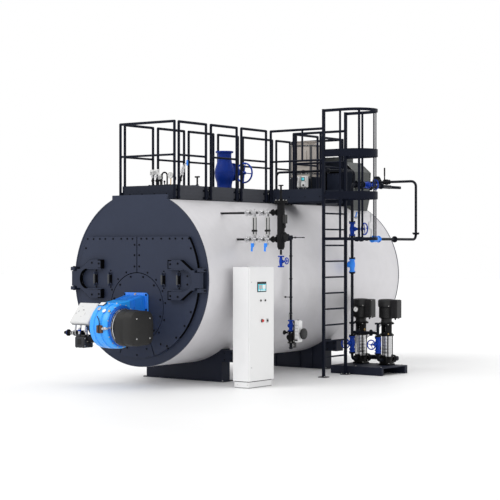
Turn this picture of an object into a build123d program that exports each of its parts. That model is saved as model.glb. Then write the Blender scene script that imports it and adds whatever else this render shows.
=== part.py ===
from build123d import *
import math
import os

os.makedirs("parts", exist_ok=True)

# ---------------------------------------------------------------- dimensions
# X to the ladder side, Y from the burner end to the rear, Z up, millimetres.
# The origin is on the ground under the middle of the front saddle.
# "s" is a station: the distance behind the face of the front plate.
FRONT = -1134.0            # Y of the face of the front plate
LENGTH = 5328.0            # front plate face to rear plate face
R = 1300.0                 # outer radius of the cladding
AXIS_Z = 1562.0            # height of the boiler axis
SKIN = 20.0                # wall of the clad shell
SHELL_TOP = 2735.0         # flat on top of the shell under the walkway
PLATE_TOP = 2810.0         # flat on top of the front plate
PLATE_T = 30.0             # thickness of the end plates

DOOR_R = 1163.0            # outer radius of the front doors
DOOR_TOP = 2190.0          # straight top edge of the front doors
DOOR_T = 48.0              # how far the doors stand proud
BURNER_Z = 1145.0          # centre of the round burner plate
BURNER_R = 507.0
SEAM = 7.0                 # half the seam between the doors
HINGE_X = 1240.0           # vertical hinge pins of the front doors
HINGE_S = -85.0

RAIL_X = 530.0             # guard-rail lines of the walkway
RAIL_Z = 3890.0            # centre of the top rail
MID_Z = 3400.0             # centre of the middle rail
TUBE = 20.0                # radius of the guard-rail tube
DECK_X = 508.0
DECK_Z = 2815.0            # walking surface
TOE_Z = 2955.0             # top of the toe boards
LADDER_TOP = 4190.0

LADDER_X = 1570.0
LADDER_S0, LADDER_S1 = 2570.0, 3202.0
RUNG = 250.0


# ---------------------------------------------------------------- helpers
def blk(x0, x1, s0, s1, z0, z1):
    return Pos((x0 + x1) / 2, FRONT + (s0 + s1) / 2, (z0 + z1) / 2) * Box(
        abs(x1 - x0), abs(s1 - s0), abs(z1 - z0))


def rod(p, q, r, r2=None):
    a = Vector(p[0], FRONT + p[1], p[2])
    b = Vector(q[0], FRONT + q[1], q[2])
    pl = Plane(origin=a, z_dir=(b - a).normalized())
    length = (b - a).length
    if r2 is None:
        return pl * Cylinder(r, length, align=(Align.CENTER, Align.CENTER, Align.MIN))
    return pl * Cone(r, r2, length, align=(Align.CENTER, Align.CENTER, Align.MIN))


def hoop(p, q, ro, ri):
    return rod(p, q, ro) - rod(p, q, ri)


def pipe(points, r, bend):
    pts = [Vector(x, FRONT + s, z) for x, s, z in points]
    path = FilletPolyline(*pts, radius=bend) if len(pts) > 2 else Line(pts[0], pts[1])
    start = Plane(origin=path @ 0, z_dir=path % 0)
    return sweep(start * Circle(r), path=path)


def plate(face, s0, s1):
    """Face drawn in X and Z, given thickness between two stations."""
    pl = Plane(origin=(0, FRONT + s1, 0), x_dir=(1, 0, 0), z_dir=(0, -1, 0))
    return extrude(pl * face, amount=s1 - s0, dir=(0, -1, 0))


def slab_x(points, x0, x1):
    """Outline drawn in station and Z, given width between two x."""
    pl = Plane(origin=(x0, FRONT, 0), x_dir=(0, 1, 0), z_dir=(1, 0, 0))
    return extrude(pl * Polygon(*points, align=None), amount=x1 - x0, dir=(1, 0, 0))


def disc(r, top):
    return Pos(0, AXIS_Z) * Circle(r) - Pos(0, top + 1000) * Rectangle(4000, 2000)


def poly(*pts):
    return Polygon(*pts, align=None)


def rect(x0, x1, z0, z1):
    return Pos((x0 + x1) / 2, (z0 + z1) / 2) * Rectangle(x1 - x0, z1 - z0)


def join(*items):
    flat = []
    for it in items:
        flat.extend(it if isinstance(it, (list, tuple)) else [it])
    out = flat[0]
    for it in flat[1:]:
        out = out + it
    return out


def group(*items):
    """Pieces of one node that do not touch each other."""
    solids = []
    for it in items:
        solids.extend(it.solids())
    return Compound(children=solids)


def save(name, shape):
    export_step(shape, "parts/%s.step" % name)


def wheel(c, axis, r, rim, hub_r, hub_len, spokes):
    """Handwheel with its rim about an axis letter, centred on c."""
    d = {"x": (1, 0, 0), "y": (0, 1, 0), "z": (0, 0, 1)}[axis]
    pl = Plane(origin=(c[0], FRONT + c[1], c[2]), z_dir=d)
    out = pl * Torus(r, rim)
    out = out + pl * Cylinder(hub_r, hub_len)
    for k in range(spokes):
        a0, a1 = hub_r * 0.7, r - rim * 0.3
        arm = Rot(0, 0, 360.0 * k / spokes + 7) * Pos((a0 + a1) / 2, 0, 0) * Box(a1 - a0, rim * 1.5, rim * 1.1)
        out = out + pl * arm
    return out


# ---------------------------------------------------------------- shell and ends
shell = plate(disc(R, SHELL_TOP), PLATE_T, LENGTH - PLATE_T) - plate(
    disc(R - SKIN, SHELL_TOP - SKIN), PLATE_T - 1, LENGTH - PLATE_T + 1)
save("boiler_shell", shell)
shell_solid = plate(disc(R, SHELL_TOP), 0, LENGTH)

openings2d = (Pos(0, AXIS_Z) * Circle(1110)) - rect(-1400, 1400, 2110, 3200)
openings2d = openings2d - Pos(0, BURNER_Z) * Circle(455) - rect(-55, 55, 1145, 3000)
openings2d = openings2d - poly((-300, 1145), (300, 1145), (430, 350), (-430, 350))
front_plate = plate(disc(R, PLATE_TOP) + rect(-535, 535, 2500, PLATE_TOP), 0, PLATE_T) - plate(openings2d, -5, PLATE_T + 5)
save("front_plate", front_plate)

save("rear_plate", plate(disc(R, SHELL_TOP), LENGTH - PLATE_T, LENGTH))

rear_cover = plate(Pos(0, AXIS_Z) * Circle(900), LENGTH, LENGTH + 45)
rear_cover = rear_cover + rod((0, LENGTH + 45, 1145), (0, LENGTH + 95, 1145), 270)
rear_cover = rear_cover + rod((0, LENGTH + 95, 1145), (0, LENGTH + 150, 1145), 60)
save("rear_cover", rear_cover)

tube_holes = []
for sx in (-1, 1):
    for x, z in ((430, 1950), (600, 1950), (430, 1780), (600, 1780), (770, 1780), (770, 1610)):
        tube_holes.append((sx * x, z))
tubes = disc(R - SKIN, SHELL_TOP - SKIN)
for x, z in tube_holes:
    tubes = tubes - Pos(x, z) * Circle(38)
save("tube_plate", plate(tubes, 330, 350))
save("furnace_neck", hoop((0, PLATE_T, BURNER_Z), (0, 330, BURNER_Z), 455, 425))

# round burner plate, and the fixed wedge below it between the two doors
save("burner_plate", plate(Pos(0, BURNER_Z) * Circle(BURNER_R), -50, 0))
door_disc = Pos(0, AXIS_Z) * Circle(DOOR_R)
wedge = poly((-198, 790), (198, 790), (368, 345), (-368, 345))
wedge_gap = poly((-210, 790), (210, 790), (380, 345), (-380, 345))
save("lower_cover", plate((door_disc & wedge) - Pos(0, BURNER_Z) * Circle(BURNER_R + 12), -50, 0))

# ---------------------------------------------------------------- front doors
half = (door_disc & rect(SEAM, 1400, 0, DOOR_TOP)) - Pos(0, BURNER_Z) * Circle(BURNER_R + 12) - wedge_gap
lining2d = (Pos(0, AXIS_Z) * Circle(1045)) & rect(125, 1400, 0, 2045)
lining2d = lining2d - Pos(0, BURNER_Z) * Circle(560) - poly((-360, 1145), (360, 1145), (500, 350), (-500, 350))
arm2d = poly((650, 1850), (883, 1850), (1088, 1704), (1150, 1704), (1150, 1416), (1088, 1416), (883, 1270), (650, 1270))
arm2d = arm2d - rect(600, 940, 1408, 1712) - Pos(940, 1560) * Circle(152)


def door(sign):
    m = Plane.YZ
    panel = plate(half, -50, -2)
    for hx in (520, 810):
        panel = panel + rod((hx, -45, 1475), (hx, -100, 1475), 11) + rod((hx, -45, 1645), (hx, -100, 1645), 11)
        panel = panel + rod((hx, -100, 1452), (hx, -100, 1668), 12)
    lining = plate(lining2d, -2, 58)
    arm = plate(arm2d, -120, -50)
    arm = arm + blk(1140, HINGE_X, -120, -50, 1450, 1670)
    arm = arm + rod((HINGE_X, HINGE_S, 1450), (HINGE_X, HINGE_S, 1670), 35)
    arm = arm - rod((HINGE_X, HINGE_S, 1440), (HINGE_X, HINGE_S, 1680), 18.08)
    arm = arm - blk(HINGE_X - 1, HINGE_X + 40, -49.9, -20, 1440, 1680)
    parts = [panel, lining, arm]
    if sign < 0:
        parts = [p.mirror(m) for p in parts]
    return parts


for side, sign in (("right", 1), ("left", -1)):
    p, l, a = door(sign)
    save("front_door_" + side, p)
    save("door_lining_" + side, l)
    save("door_hinge_arm_" + side, a)

posts = []
for sign in (1, -1):
    lug = blk(1203, 1278, -122, 0, 1385, 1440) + blk(1203, 1278, -122, 0, 1680, 1735)
    post = lug + rod((HINGE_X, HINGE_S, 1390), (HINGE_X, HINGE_S, 1730), 18)
    posts.append(post if sign > 0 else post.mirror(Plane.YZ))
save("hinge_posts", group(*posts))


# ---------------------------------------------------------------- saddles
def saddle(s0, s1):
    prof = rect(-746, 746, 12, 640) - Pos(0, AXIS_Z) * Circle(R)
    body = plate(prof, s0, s1)
    for a, b in ((-980, -746), (746, 980)):
        body = body + blk(a, b, s0 + 1, s1 - 1, 306, 478)
    mid = (s0 + s1) / 2
    return body + blk(-800, 800, mid - 125, mid + 125, 0, 12)


save("front_saddle", saddle(1033, 1235))
save("rear_saddle", saddle(3843, 4045))

# ---------------------------------------------------------------- walkway
deck = blk(-DECK_X, DECK_X, 202, 4700, 2795, DECK_Z)
for x0, x1 in ((-DECK_X, -DECK_X + 12), (DECK_X - 12, DECK_X)):
    deck = deck + blk(x0, x1, 202, 4700, SHELL_TOP, TOE_Z)
deck = deck + blk(-DECK_X, DECK_X, 202, 214, SHELL_TOP, TOE_Z)
deck = deck + blk(-DECK_X, DECK_X, 4688, 4700, SHELL_TOP, TOE_Z)
deck = deck - blk(-250, 210, 4680, 4710, 2932, TOE_Z + 50)
for s in (900, 1700, 2500, 3300, 4100):
    deck = deck + blk(-DECK_X + 12, DECK_X - 12, s - 25, s + 25, SHELL_TOP, 2795)
deck = deck - blk(DECK_X - 30, DECK_X + 30, 2604, 3168, DECK_Z, TOE_Z + 50)
save("walkway_deck", deck)

plat = blk(DECK_X, 1545, 2592, 3180, 2795, DECK_Z)
plat = plat + blk(DECK_X, 1545, 2592, 2604, 2755, TOE_Z) + blk(DECK_X, 1545, 3168, 3180, 2755, TOE_Z)
for s in (2620, 3120):
    plat = plat + blk(DECK_X, 1545, s, s + 40, SHELL_TOP + 1, 2795)
save("platform_deck", plat - shell_solid)


def panel_y(x, s0, s1, z0=2755.0):
    parts = [rod((x, s0, z0), (x, s0, RAIL_Z), TUBE), rod((x, s1, z0), (x, s1, RAIL_Z), TUBE)]
    parts += [rod((x, s0, RAIL_Z), (x, s1, RAIL_Z), TUBE), rod((x, s0, MID_Z), (x, s1, MID_Z), TUBE * 0.8)]
    parts += [Pos(x, FRONT + s0, RAIL_Z) * Sphere(TUBE), Pos(x, FRONT + s1, RAIL_Z) * Sphere(TUBE)]
    return join(parts)


def panel_x(s, x0, x1, z0=2755.0):
    parts = [rod((x0, s, z0), (x0, s, RAIL_Z), TUBE), rod((x1, s, z0), (x1, s, RAIL_Z), TUBE)]
    parts += [rod((x0, s, RAIL_Z), (x1, s, RAIL_Z), TUBE), rod((x0, s, MID_Z), (x1, s, MID_Z), TUBE * 0.8)]
    parts += [Pos(x0, FRONT + s, RAIL_Z) * Sphere(TUBE), Pos(x1, FRONT + s, RAIL_Z) * Sphere(TUBE)]
    return join(parts)


RIGHT_PANELS = ((280, 925), (1045, 1692), (1813, 2470), (3311, 3950), (4060, 4650))
LEFT_PANELS = ((280, 935), (1055, 1697), (1814, 2457), (2583, 3125), (3266, 4112), (4235, 4650))
save("right_guardrail", group(*[panel_y(RAIL_X, a, b) for a, b in RIGHT_PANELS]))
save("left_guardrail", group(*[panel_y(-RAIL_X, a, b) for a, b in LEFT_PANELS]))
save("front_guardrail", panel_x(180, -RAIL_X, RAIL_X))
save("rear_guardrail", panel_x(4722, -RAIL_X, RAIL_X))

pf = join(rod((552, LADDER_S0, 2755), (552, LADDER_S0, RAIL_Z), TUBE),
          rod((552, LADDER_S0, RAIL_Z), (LADDER_X - 20, LADDER_S0, RAIL_Z), TUBE),
          rod((552, LADDER_S0, MID_Z), (LADDER_X - 20, LADDER_S0, MID_Z), TUBE * 0.8),
          rod((1165, LADDER_S0, MID_Z), (1165, LADDER_S0, RAIL_Z), TUBE * 0.8),
          Pos(552, FRONT + LADDER_S0, RAIL_Z) * Sphere(TUBE))
save("platform_front_guardrail", pf)
pr = join(rod((560, LADDER_S1, 2755), (560, LADDER_S1, RAIL_Z), TUBE),
          rod((1090, LADDER_S1, 2755), (1090, LADDER_S1, RAIL_Z), TUBE),
          rod((560, LADDER_S1, RAIL_Z), (LADDER_X - 20, LADDER_S1, RAIL_Z), TUBE),
          rod((560, LADDER_S1, MID_Z), (LADDER_X - 20, LADDER_S1, MID_Z), TUBE * 0.8),
          Pos(560, FRONT + LADDER_S1, RAIL_Z) * Sphere(TUBE))
save("platform_rear_guardrail", pr)

# ---------------------------------------------------------------- ladder and cage
lad = []
for s in (LADDER_S0, LADDER_S1):
    lad.append(blk(LADDER_X - 20, LADDER_X + 20, s - 20, s + 20, 0, LADDER_TOP))
    lad.append(blk(LADDER_X - 65, LADDER_X + 65, s - 65, s + 65, 0, 12))
z = 313.0
while z < 2700:
    lad.append(rod((LADDER_X, LADDER_S0, z), (LADDER_X, LADDER_S1, z), 12.5))
    z += RUNG
save("ladder", join(lad))

CAGE_X0, CAGE_C, CAGE_R = LADDER_X + 20, 1970.0, 336.0
CAGE_S = (LADDER_S0 + LADDER_S1) / 2


def cage_outline(r):
    straight = Pos((CAGE_X0 + CAGE_C) / 2, FRONT + CAGE_S) * Rectangle(CAGE_C - CAGE_X0, 2 * r)
    return straight + (Pos(CAGE_C, FRONT + CAGE_S) * Circle(r))


hoops = []
for zc, h in ((LADDER_TOP - 25, 46), (3502, 118), (2842, 118), (2166, 46)):
    band = cage_outline(CAGE_R) - cage_outline(CAGE_R - 8)
    band = band - Pos(CAGE_X0 - 100, FRONT + CAGE_S) * Rectangle(200, 900)
    band = band - Pos(CAGE_X0 + 100, FRONT + CAGE_S) * Rectangle(220, 2 * (CAGE_R - 8))
    hoops.append(extrude(Pos(0, 0, zc - h / 2) * band, amount=h))
save("ladder_cage_hoops", group(*hoops))

bars = []
for bx, bs in ((1880, CAGE_S - CAGE_R + 12), (1880, CAGE_S + CAGE_R - 12)):
    bars.append(blk(bx - 18, bx + 18, bs - 4, bs + 4, 2143, LADDER_TOP - 2))
for a in (-50, 0, 50):
    c = Rot(0, 0, a) * Pos(CAGE_R - 12.7, 0, 0) * Box(8, 36, LADDER_TOP - 2145)
    bars.append(Pos(CAGE_C, FRONT + CAGE_S, (LADDER_TOP + 2141) / 2) * c)
save("ladder_cage_bars", group(*bars))

# ---------------------------------------------------------------- economizer and flue
eco2d = poly((-540, 2600), (665, 2600), (725, 2850), (755, 3330), (550, 3510), (-420, 3510), (-600, 3330), (-575, 2850))
eco = plate(eco2d, 4745, 5285) - plate(disc(R, SHELL_TOP), 4700, 5300)
eco = eco + blk(-330, 450, 4820, 5190, 3505, 3600)
save("economizer_casing", eco)
eco_solid = plate(eco2d, 4745, 5285)

duct = blk(-240, 200, 4240, 4600, DECK_Z, 3800) - blk(-230, 190, 4250, 4590, 2825, 3790)
duct = duct - rod((-30, 4420, 3780), (-30, 4420, 3810), 170)
duct = duct + hoop((-30, 4420, 3800), (-30, 4420, 3850), 180, 170)
duct = duct + hoop((-30, 4420, 3850), (-30, 4420, 3862), 215, 170)
duct = duct + blk(-200, 140, 4600, 4745, 2940, 3340)
for k in range(8):
    a = math.radians(22.5 + 45 * k)
    duct = duct - rod((-30 + 197 * math.cos(a), 4420 + 197 * math.sin(a), 3840),
                      (-30 + 197 * math.cos(a), 4420 + 197 * math.sin(a), 3870), 7)
save("flue_duct", duct)

# ---------------------------------------------------------------- control cabinet
cab = blk(1400, 1680, 459, 1053, 100, 1748) - blk(1415, 1700, 474, 1038, 115, 1733)
cab = cab + blk(1415, 1670, 474, 1038, 0, 100)
save("cabinet_body", cab)
save("cabinet_mounting_plate", blk(1415, 1427, 500, 1012, 160, 1685))
cdoor = blk(1682, 1700, 461, 1051, 103, 1745)
save("cabinet_door", cdoor)

# ---------------------------------------------------------------- burner
BZ = 900.0                 # height of the fan axis
BS = -600.0                # station of the fan axis
flange = plate(Pos(-7, 1115) * RectangleRounded(476, 500, 45), -76, -50)
throat = slab_x(((-76, 1338), (-560, 1240), (-420, 860), (-76, 892)), -205, 190)
scroll_cut = rod((-260, BS, BZ), (260, BS, BZ), 340.5)
housing = flange + throat - scroll_cut
save("burner_housing", housing)

outlet = slab_x(((-700, 800), (-700, 1212), (-660, 1236), (-560, 1240), (-390, 1268), (-390, 800)), -148, 180) - throat
scroll = rod((-150, BS, BZ), (195, BS, BZ), 340) + outlet
scroll = scroll + rod((195, BS, BZ), (222, BS, BZ), 288)
scroll = scroll + blk(15, 120, -957, -905, 808, 925)
save("burner_fan_scroll", scroll)

mot = Plane(origin=(222, FRONT + BS, BZ - 22), x_dir=(0, 1, 0), z_dir=(1, 0, 0)) * RectangleRounded(534, 530, 200)
motor = extrude(mot, amount=198)
mot2 = Plane(origin=(420, FRONT + BS, BZ - 22), x_dir=(0, 1, 0), z_dir=(1, 0, 0)) * RectangleRounded(510, 508, 150)
motor = motor + extrude(mot2, amount=185)
save("burner_motor_cover", motor)

box2d = ((-450, 1215), (-685, 930), (-625, 880), (-390, 1165))
cbox = slab_x(box2d, -770, -390)
cbox = cbox + rod((-395, -545, 1020), (-150, -545, 1020), 25)
save("burner_control_box", cbox)

gas = blk(-645, -450, -700, -500, 560, 755)
gas = gas + rod((-455, BS, 690), (-165, BS, 690), 52)
gas = gas + rod((-560, BS, 768), (-760, BS, 768), 44) + rod((-760, BS, 768), (-850, BS, 768), 28)
gas = gas + rod((-850, BS, 768), (-875, BS, 768), 50) + rod((-875, BS, 768), (-935, BS, 768), 26)
gas = gas + rod((-600, -640, 755), (-600, -640, 855), 22) + rod((-500, -600, 755), (-500, -600, 870), 22)
save("burner_gas_train", gas)

# ---------------------------------------------------------------- main steam valve
SV = (0.0, 2069.0)
steam = rod((0, SV[1], DECK_Z), (0, SV[1], 2925), 84)
steam = steam + rod((0, SV[1], 2925), (0, SV[1], 2950), 142)
steam = steam + rod((0, SV[1], 2950), (0, SV[1], 2974), 142)
steam = steam + rod((0, SV[1], 2974), (0, SV[1], 3090), 96, 128)
steam = steam + Pos(0, FRONT + SV[1], 3230) * Sphere(158)
steam = steam + rod((0, SV[1], 3340), (0, SV[1], 3540), 116, 96)
steam = steam + rod((0, SV[1], 3540), (0, SV[1], 3570), 142)
steam = steam + rod((0, SV[1] + 90, 3245), (0, SV[1] + 190, 3245), 112)
steam = steam + rod((0, SV[1] + 185, 3245), (0, SV[1] + 225, 3245), 146)
steam = steam + rod((0, SV[1] + 225, 3245), (0, SV[1] + 400, 3245), 46)
steam = steam + rod((0, SV[1] + 400, 3245), (0, SV[1] + 548, 3245), 17)
bore = rod((0, SV[1], 3400), (0, SV[1], 3580), 75)
steam = steam - bore
for k in range(8):
    a = math.radians(22.5 + 45 * k)
    steam = steam - rod((120 * math.cos(a), SV[1] + 120 * math.sin(a), 3520),
                        (120 * math.cos(a), SV[1] + 120 * math.sin(a), 3580), 11)
save("steam_valve_body", steam)
sw = wheel((0, SV[1] + 528, 3245), "y", 158, 14, 26, 50, 4)
sw = sw - rod((0, SV[1] + 490, 3245), (0, SV[1] + 580, 3245), 17.08)
sw = sw + rod((0, SV[1] + 553, 3245), (0, SV[1] + 562, 3245), 26)
save("steam_handwheel", sw)

# ---------------------------------------------------------------- instruments on top
man = rod((-310, 583, 2965), (300, 583, 2965), 18)
for x in (-250, 240):
    man = man + rod((x, 583, DECK_Z), (x, 583, 2965), 16)
man = man + pipe([(-53, 583, 2965), (-53, 583, 3165), (53, 583, 3165), (53, 583, 2965)], 12, 50)
for x in (-240, -160, -80):
    man = man + rod((x, 583, 2965), (x, 583, 3110), 9) + blk(x - 32, x + 32, 553, 613, 3100, 3200)
man = man + rod((285, 583, 2970), (340, 583, 3130), 16)
man = man + rod((340, 583, 3130), (375, 583, 3240), 32) + rod((375, 583, 3240), (430, 583, 3320), 10)
man = man + blk(432, 455, 570, 596, 3255, 3340)
save("top_instrument_manifold", man)

cover = rod((0, 1293, DECK_Z), (0, 1293, 2935), 150)
cover = cover + rod((0, 1293, 2935), (0, 1293, 2962), 190)
cover = cover + rod((0, 1293, 2962), (0, 1293, 3000), 120, 60)
cover = cover + rod((20, 1350, 2950), (20, 1350, 3140), 14) + rod((-25, 1350, 3130), (65, 1350, 3130), 13)
save("top_inspection_cover", cover)

# ---------------------------------------------------------------- level gauges
GS = 880.0
SPX = 1952.0
gauge = rod((820, GS, 2540), (1920, GS, 2540), 17)
gauge = gauge + rod((1140, GS, 2150), (1920, GS, 2150), 17)
for x in (1371, 1614, 1846):
    for z in (2540, 2150):
        gauge = gauge + rod((x - 22, GS, z), (x + 22, GS, z), 48)
for x in (1475, 1713):
    gauge = gauge + blk(x - 32, x + 32, GS - 26, GS + 26, 2205, 2485)
    gauge = gauge + rod((x, GS, 2080), (x, GS, 2600), 13)
    for z in (2540, 2150):
        gauge = gauge + rod((x, GS - 40, z), (x, GS + 40, z), 26)
save("level_gauges", gauge - shell_solid - rod((SPX, GS, 1900), (SPX, GS, 2700), 55))

stand = rod((SPX, GS, 2040), (SPX, GS, 2676), 55)
stand = stand + rod((SPX, GS, 2676), (SPX, GS, 2712), 98)
stand = stand + rod((SPX, GS, 2712), (SPX, GS, 2940), 15) + rod((SPX - 40, GS, 2930), (SPX + 40, GS, 2930), 10)
stand = stand + rod((SPX, GS, 2000), (SPX, GS, 2040), 40, 55) + rod((SPX, GS, 1900), (SPX, GS, 2000), 17)
stand = stand + rod((SPX, GS, 1745), (SPX, GS, 1900), 32) + rod((SPX + 20, GS, 1837), (SPX + 110, GS, 1837), 12)
stand = stand + rod((SPX + 95, GS, 1837), (SPX + 110, GS, 1837), 50)
stand = stand + blk(SPX + 54, SPX + 92, GS - 40, GS + 40, 2377, 2508)
save("level_standpipe", stand)

# ---------------------------------------------------------------- sample and blowdown line
TS = 1955.0
samp = rod((1110, TS, 2183), (1320, TS, 2183), 34)
samp = samp + rod((1290, TS, 2183), (1322, TS, 2183), 56) + rod((1322, TS, 2183), (1410, TS, 2183), 30)
samp = samp + rod((1410, TS, 2183), (1610, TS, 2183), 7) + rod((1610, TS - 22, 2183), (1610, TS + 22, 2183), 9)
samp = samp + rod((1376, TS, 920), (1376, TS, 2183), 19)
samp = samp + rod((1240, TS, 1268), (1376, TS, 1268), 12)
samp = samp + rod((1376, TS, 750), (1376, TS, 925), 36) + rod((1376, TS, 560), (1376, TS, 750), 50)
samp = samp + rod((1376, TS, 700), (1250, TS, 700), 16) + rod((1262, TS, 700), (1240, TS, 700), 34)
samp = samp + blk(1430, 1475, TS - 30, TS + 30, 492, 905) + rod((1376, TS, 700), (1440, TS, 700), 26)
samp = samp + blk(1475, 1560, TS - 55, TS + 55, 578, 925)
samp = samp + rod((1555, TS, 714), (1600, TS, 714), 30) + rod((1600, TS, 714), (1640, TS, 714), 85)
samp = samp + rod((1376, TS, 470), (1376, TS, 560), 24)
save("sample_line", samp - shell_solid)

# ---------------------------------------------------------------- feed piping
FX, FS = 1442.0, 3600.0
PX2 = 1930.0
PV_Z = 478.0               # handwheels of the two pump valves
riser = pipe([(FX, 3745, 215), (FX, FS, 215), (FX, FS, 3060), (FX, 4860, 3060), (700, 4860, 3060)], 24, 70)
for z0 in (312, 590, 795, 1612, 1845, 2215, 2452):
    riser = riser + rod((FX, FS, z0), (FX, FS, z0 + 18), 52)
riser = riser + rod((FX, FS, 2240), (FX, FS, 2445), 40)
riser = riser + rod((FX + 20, FS, 2330), (FX + 120, FS, 2330), 26) + rod((FX + 120, FS, 2330), (FX + 236, FS, 2330), 9)
riser = riser + rod((FX, FS, 340), (FX, FS, 590), 46)
riser = riser + rod((FX, FS - 20, PV_Z), (FX, FS - 110, PV_Z), 34) + rod((FX, FS - 110, PV_Z), (FX, FS - 200, PV_Z), 8)
riser = riser + rod((FX, 3700, 3060), (FX, 3735, 3060), 62)
riser = riser + rod((FX, 3900, 3060), (FX, 3918, 3060), 62) + rod((FX, 4090, 3060), (FX, 4108, 3060), 62)
riser = riser + rod((FX, 3918, 3060), (FX, 4090, 3060), 44)
riser = riser + rod((FX + 20, 4004, 3060), (FX + 110, 4004, 3060), 26) + rod((FX + 110, 4004, 3060), (FX + 194, 4004, 3060), 8)
save("feed_riser", riser - eco_solid)

check = rod((FX, FS, 1630), (FX, FS, 1845), 45) + Pos(FX - 45, FRONT + FS, 1745) * Sphere(52)
check = check - rod((FX, FS, 1600), (FX, FS, 1880), 24.1)
save("feed_check_valve", check)

fw = wheel((FX + 235, FS, 2330), "x", 96, 8, 18, 34, 3)
fw = fw - rod((FX + 100, FS, 2330), (FX + 240, FS, 2330), 9.08)
save("feed_handwheel", fw)
ew = wheel((FX + 196, 4004, 3060), "x", 84, 7.5, 16, 30, 3)
ew = ew - rod((FX + 100, 4004, 3060), (FX + 198, 4004, 3060), 8.08)
save("economizer_handwheel", ew)

loop = pipe([(700, 5000, 3150), (1824, 5000, 3150), (1824, 5000, 2165), (1824, FS, 2165), (FX + 24, FS, 2165)], 22, 90)
loop = loop + rod((1030, 5000, 3150), (1055, 5000, 3150), 105) + rod((1060, 5000, 3150), (1085, 5000, 3150), 105)
loop = loop + rod((1824, 5000, 2255), (1824, 5000, 2275), 60)
loop = loop + Pos(1250, FRONT + 5000, 3150) * Sphere(48) + rod((1250, 5000, 3150), (1250, 4930, 3190), 12)
loop = loop + rod((1250, 4930, 3190), (1250, 4930, 3395), 13)
loop = loop + rod((1085, 5000, 3075), (1524, 5000, 3045), 34, 24)
loop = loop + rod((1824, 3590, 2165), (1824, 3800, 2165), 56)
loop = loop + rod((1500, FS, 2165), (1650, FS, 2165), 40)
save("economizer_loop", loop - eco_solid)

VS = 3256.0
vent = pipe([(174, VS, DECK_Z), (174, VS, 3272), (FX, VS, 3272), (FX, 3660, 3272), (FX, 3660, 3084)], 20, 70)
save("crossover_pipe", vent)

# ---------------------------------------------------------------- pumps
PS = 3868.0
P1, P2 = 1442.0, PX2
deck2d = poly((1230, FRONT + 3290), (2190, FRONT + 3290), (2235, FRONT + 3930), (2235, FRONT + 4010), (1230, FRONT + 4010))
skid = extrude(Pos(0, 0, 112) * deck2d, amount=18)
skid = skid + blk(1230, 2190, 3290, 3345, 0, 120) + blk(1230, 2235, 3930, 4010, 0, 120)
skid = skid + blk(1230, 1285, 3340, 3935, 0, 120) + blk(1660, 1715, 3340, 3935, 0, 120)
skid = skid + blk(1560, 1640, 4000, 4420, 0, 60) + blk(1575, 1625, 4360, 4410, 60, 160)
save("pump_skid", skid)


def pump(px):
    base = blk(px - 105, px + 105, PS - 95, PS + 95, 130, 155) + rod((px, PS, 155), (px, PS, 245), 88)
    base = base + rod((px, PS - 123, 215), (px, PS + 155, 215), 42)
    base = base + rod((px, PS - 123, 215), (px, PS - 103, 215), 72) + rod((px, PS + 135, 215), (px, PS + 155, 215), 72)
    base = base + rod((px, PS, 245), (px, PS, 262), 100)
    sleeve = rod((px, PS, 262), (px, PS, 600), 84)
    head = rod((px, PS, 600), (px, PS, 625), 118) + rod((px, PS, 625), (px, PS, 790), 86)
    head = head + rod((px, PS, 790), (px, PS, 812), 125)
    for k in range(4):
        a = math.radians(45 + 90 * k)
        head = head + rod((px + 96 * math.cos(a), PS + 96 * math.sin(a), 262),
                          (px + 96 * math.cos(a), PS + 96 * math.sin(a), 602), 9)
    motor = rod((px, PS, 812), (px, PS, 888), 64) + rod((px, PS, 888), (px, PS, 1060), 114) + rod((px, PS, 1060), (px, PS, 1193), 138)
    motor = motor + blk(px + 95, px + 240, PS - 75, PS + 75, 885, 1190)
    return base, join(sleeve, head), motor


for nm, px in (("left", P1), ("right", P2)):
    b, h, m = pump(px)
    save("pump_stage_" + nm, b + h)
    save("pump_motor_" + nm, m)

pman = pipe([(P2, 3745, 215), (P2, FS, 215), (P2, FS, 655), (FX + 24, FS, 655)], 24, 60)
pman = pman + rod((P2, FS, 312), (P2, FS, 330), 52) + rod((P2, FS, 590), (P2, FS, 608), 52) + rod((P2, FS, 655), (P2, FS, 820), 24)
pman = pman + rod((P2, FS, 800), (P2, FS, 820), 52)
pman = pman + rod((P2, FS, 330), (P2, FS, 590), 46)
pman = pman + rod((P2, FS - 20, PV_Z), (P2, FS - 110, PV_Z), 34) + rod((P2, FS - 110, PV_Z), (P2, FS - 200, PV_Z), 8)
save("pump_manifold", pman)
for nm, px in (("left", P1), ("right", P2)):
    pw = wheel((px, FS - 200, PV_Z), "y", 76, 8, 16, 28, 3)
    pw = pw - rod((px, FS - 206, PV_Z), (px, FS - 112, PV_Z), 8.08)
    save("pump_handwheel_" + nm, pw)

HS = 4170.0                # station of the suction header
INX = 1600.0
suction = rod((P1, PS + 155, 215), (P1, HS, 215), 30) + rod((P2, PS + 155, 215), (P2, HS, 215), 30)
suction = suction + rod((P1 - 60, HS, 215), (P2 + 30, HS, 215), 38)
suction = suction + rod((INX, HS, 215), (INX, 4440, 215), 36)
suction = suction + rod((INX, 4420, 215), (INX, 4440, 215), 82) - rod((INX, 4300, 215), (INX, 4450, 215), 30)
for k in range(4):
    a = math.radians(45 + 90 * k)
    suction = suction - rod((INX + 62 * math.cos(a), 4410, 215 + 62 * math.sin(a)),
                            (INX + 62 * math.cos(a), 4450, 215 + 62 * math.sin(a)), 7)
suction = suction + blk(INX - 18, INX + 18, 4366, 4402, 160, 184)
save("suction_manifold", suction)

print("done")
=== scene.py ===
import bpy
import math
import random
from mathutils import Matrix, Vector


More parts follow.
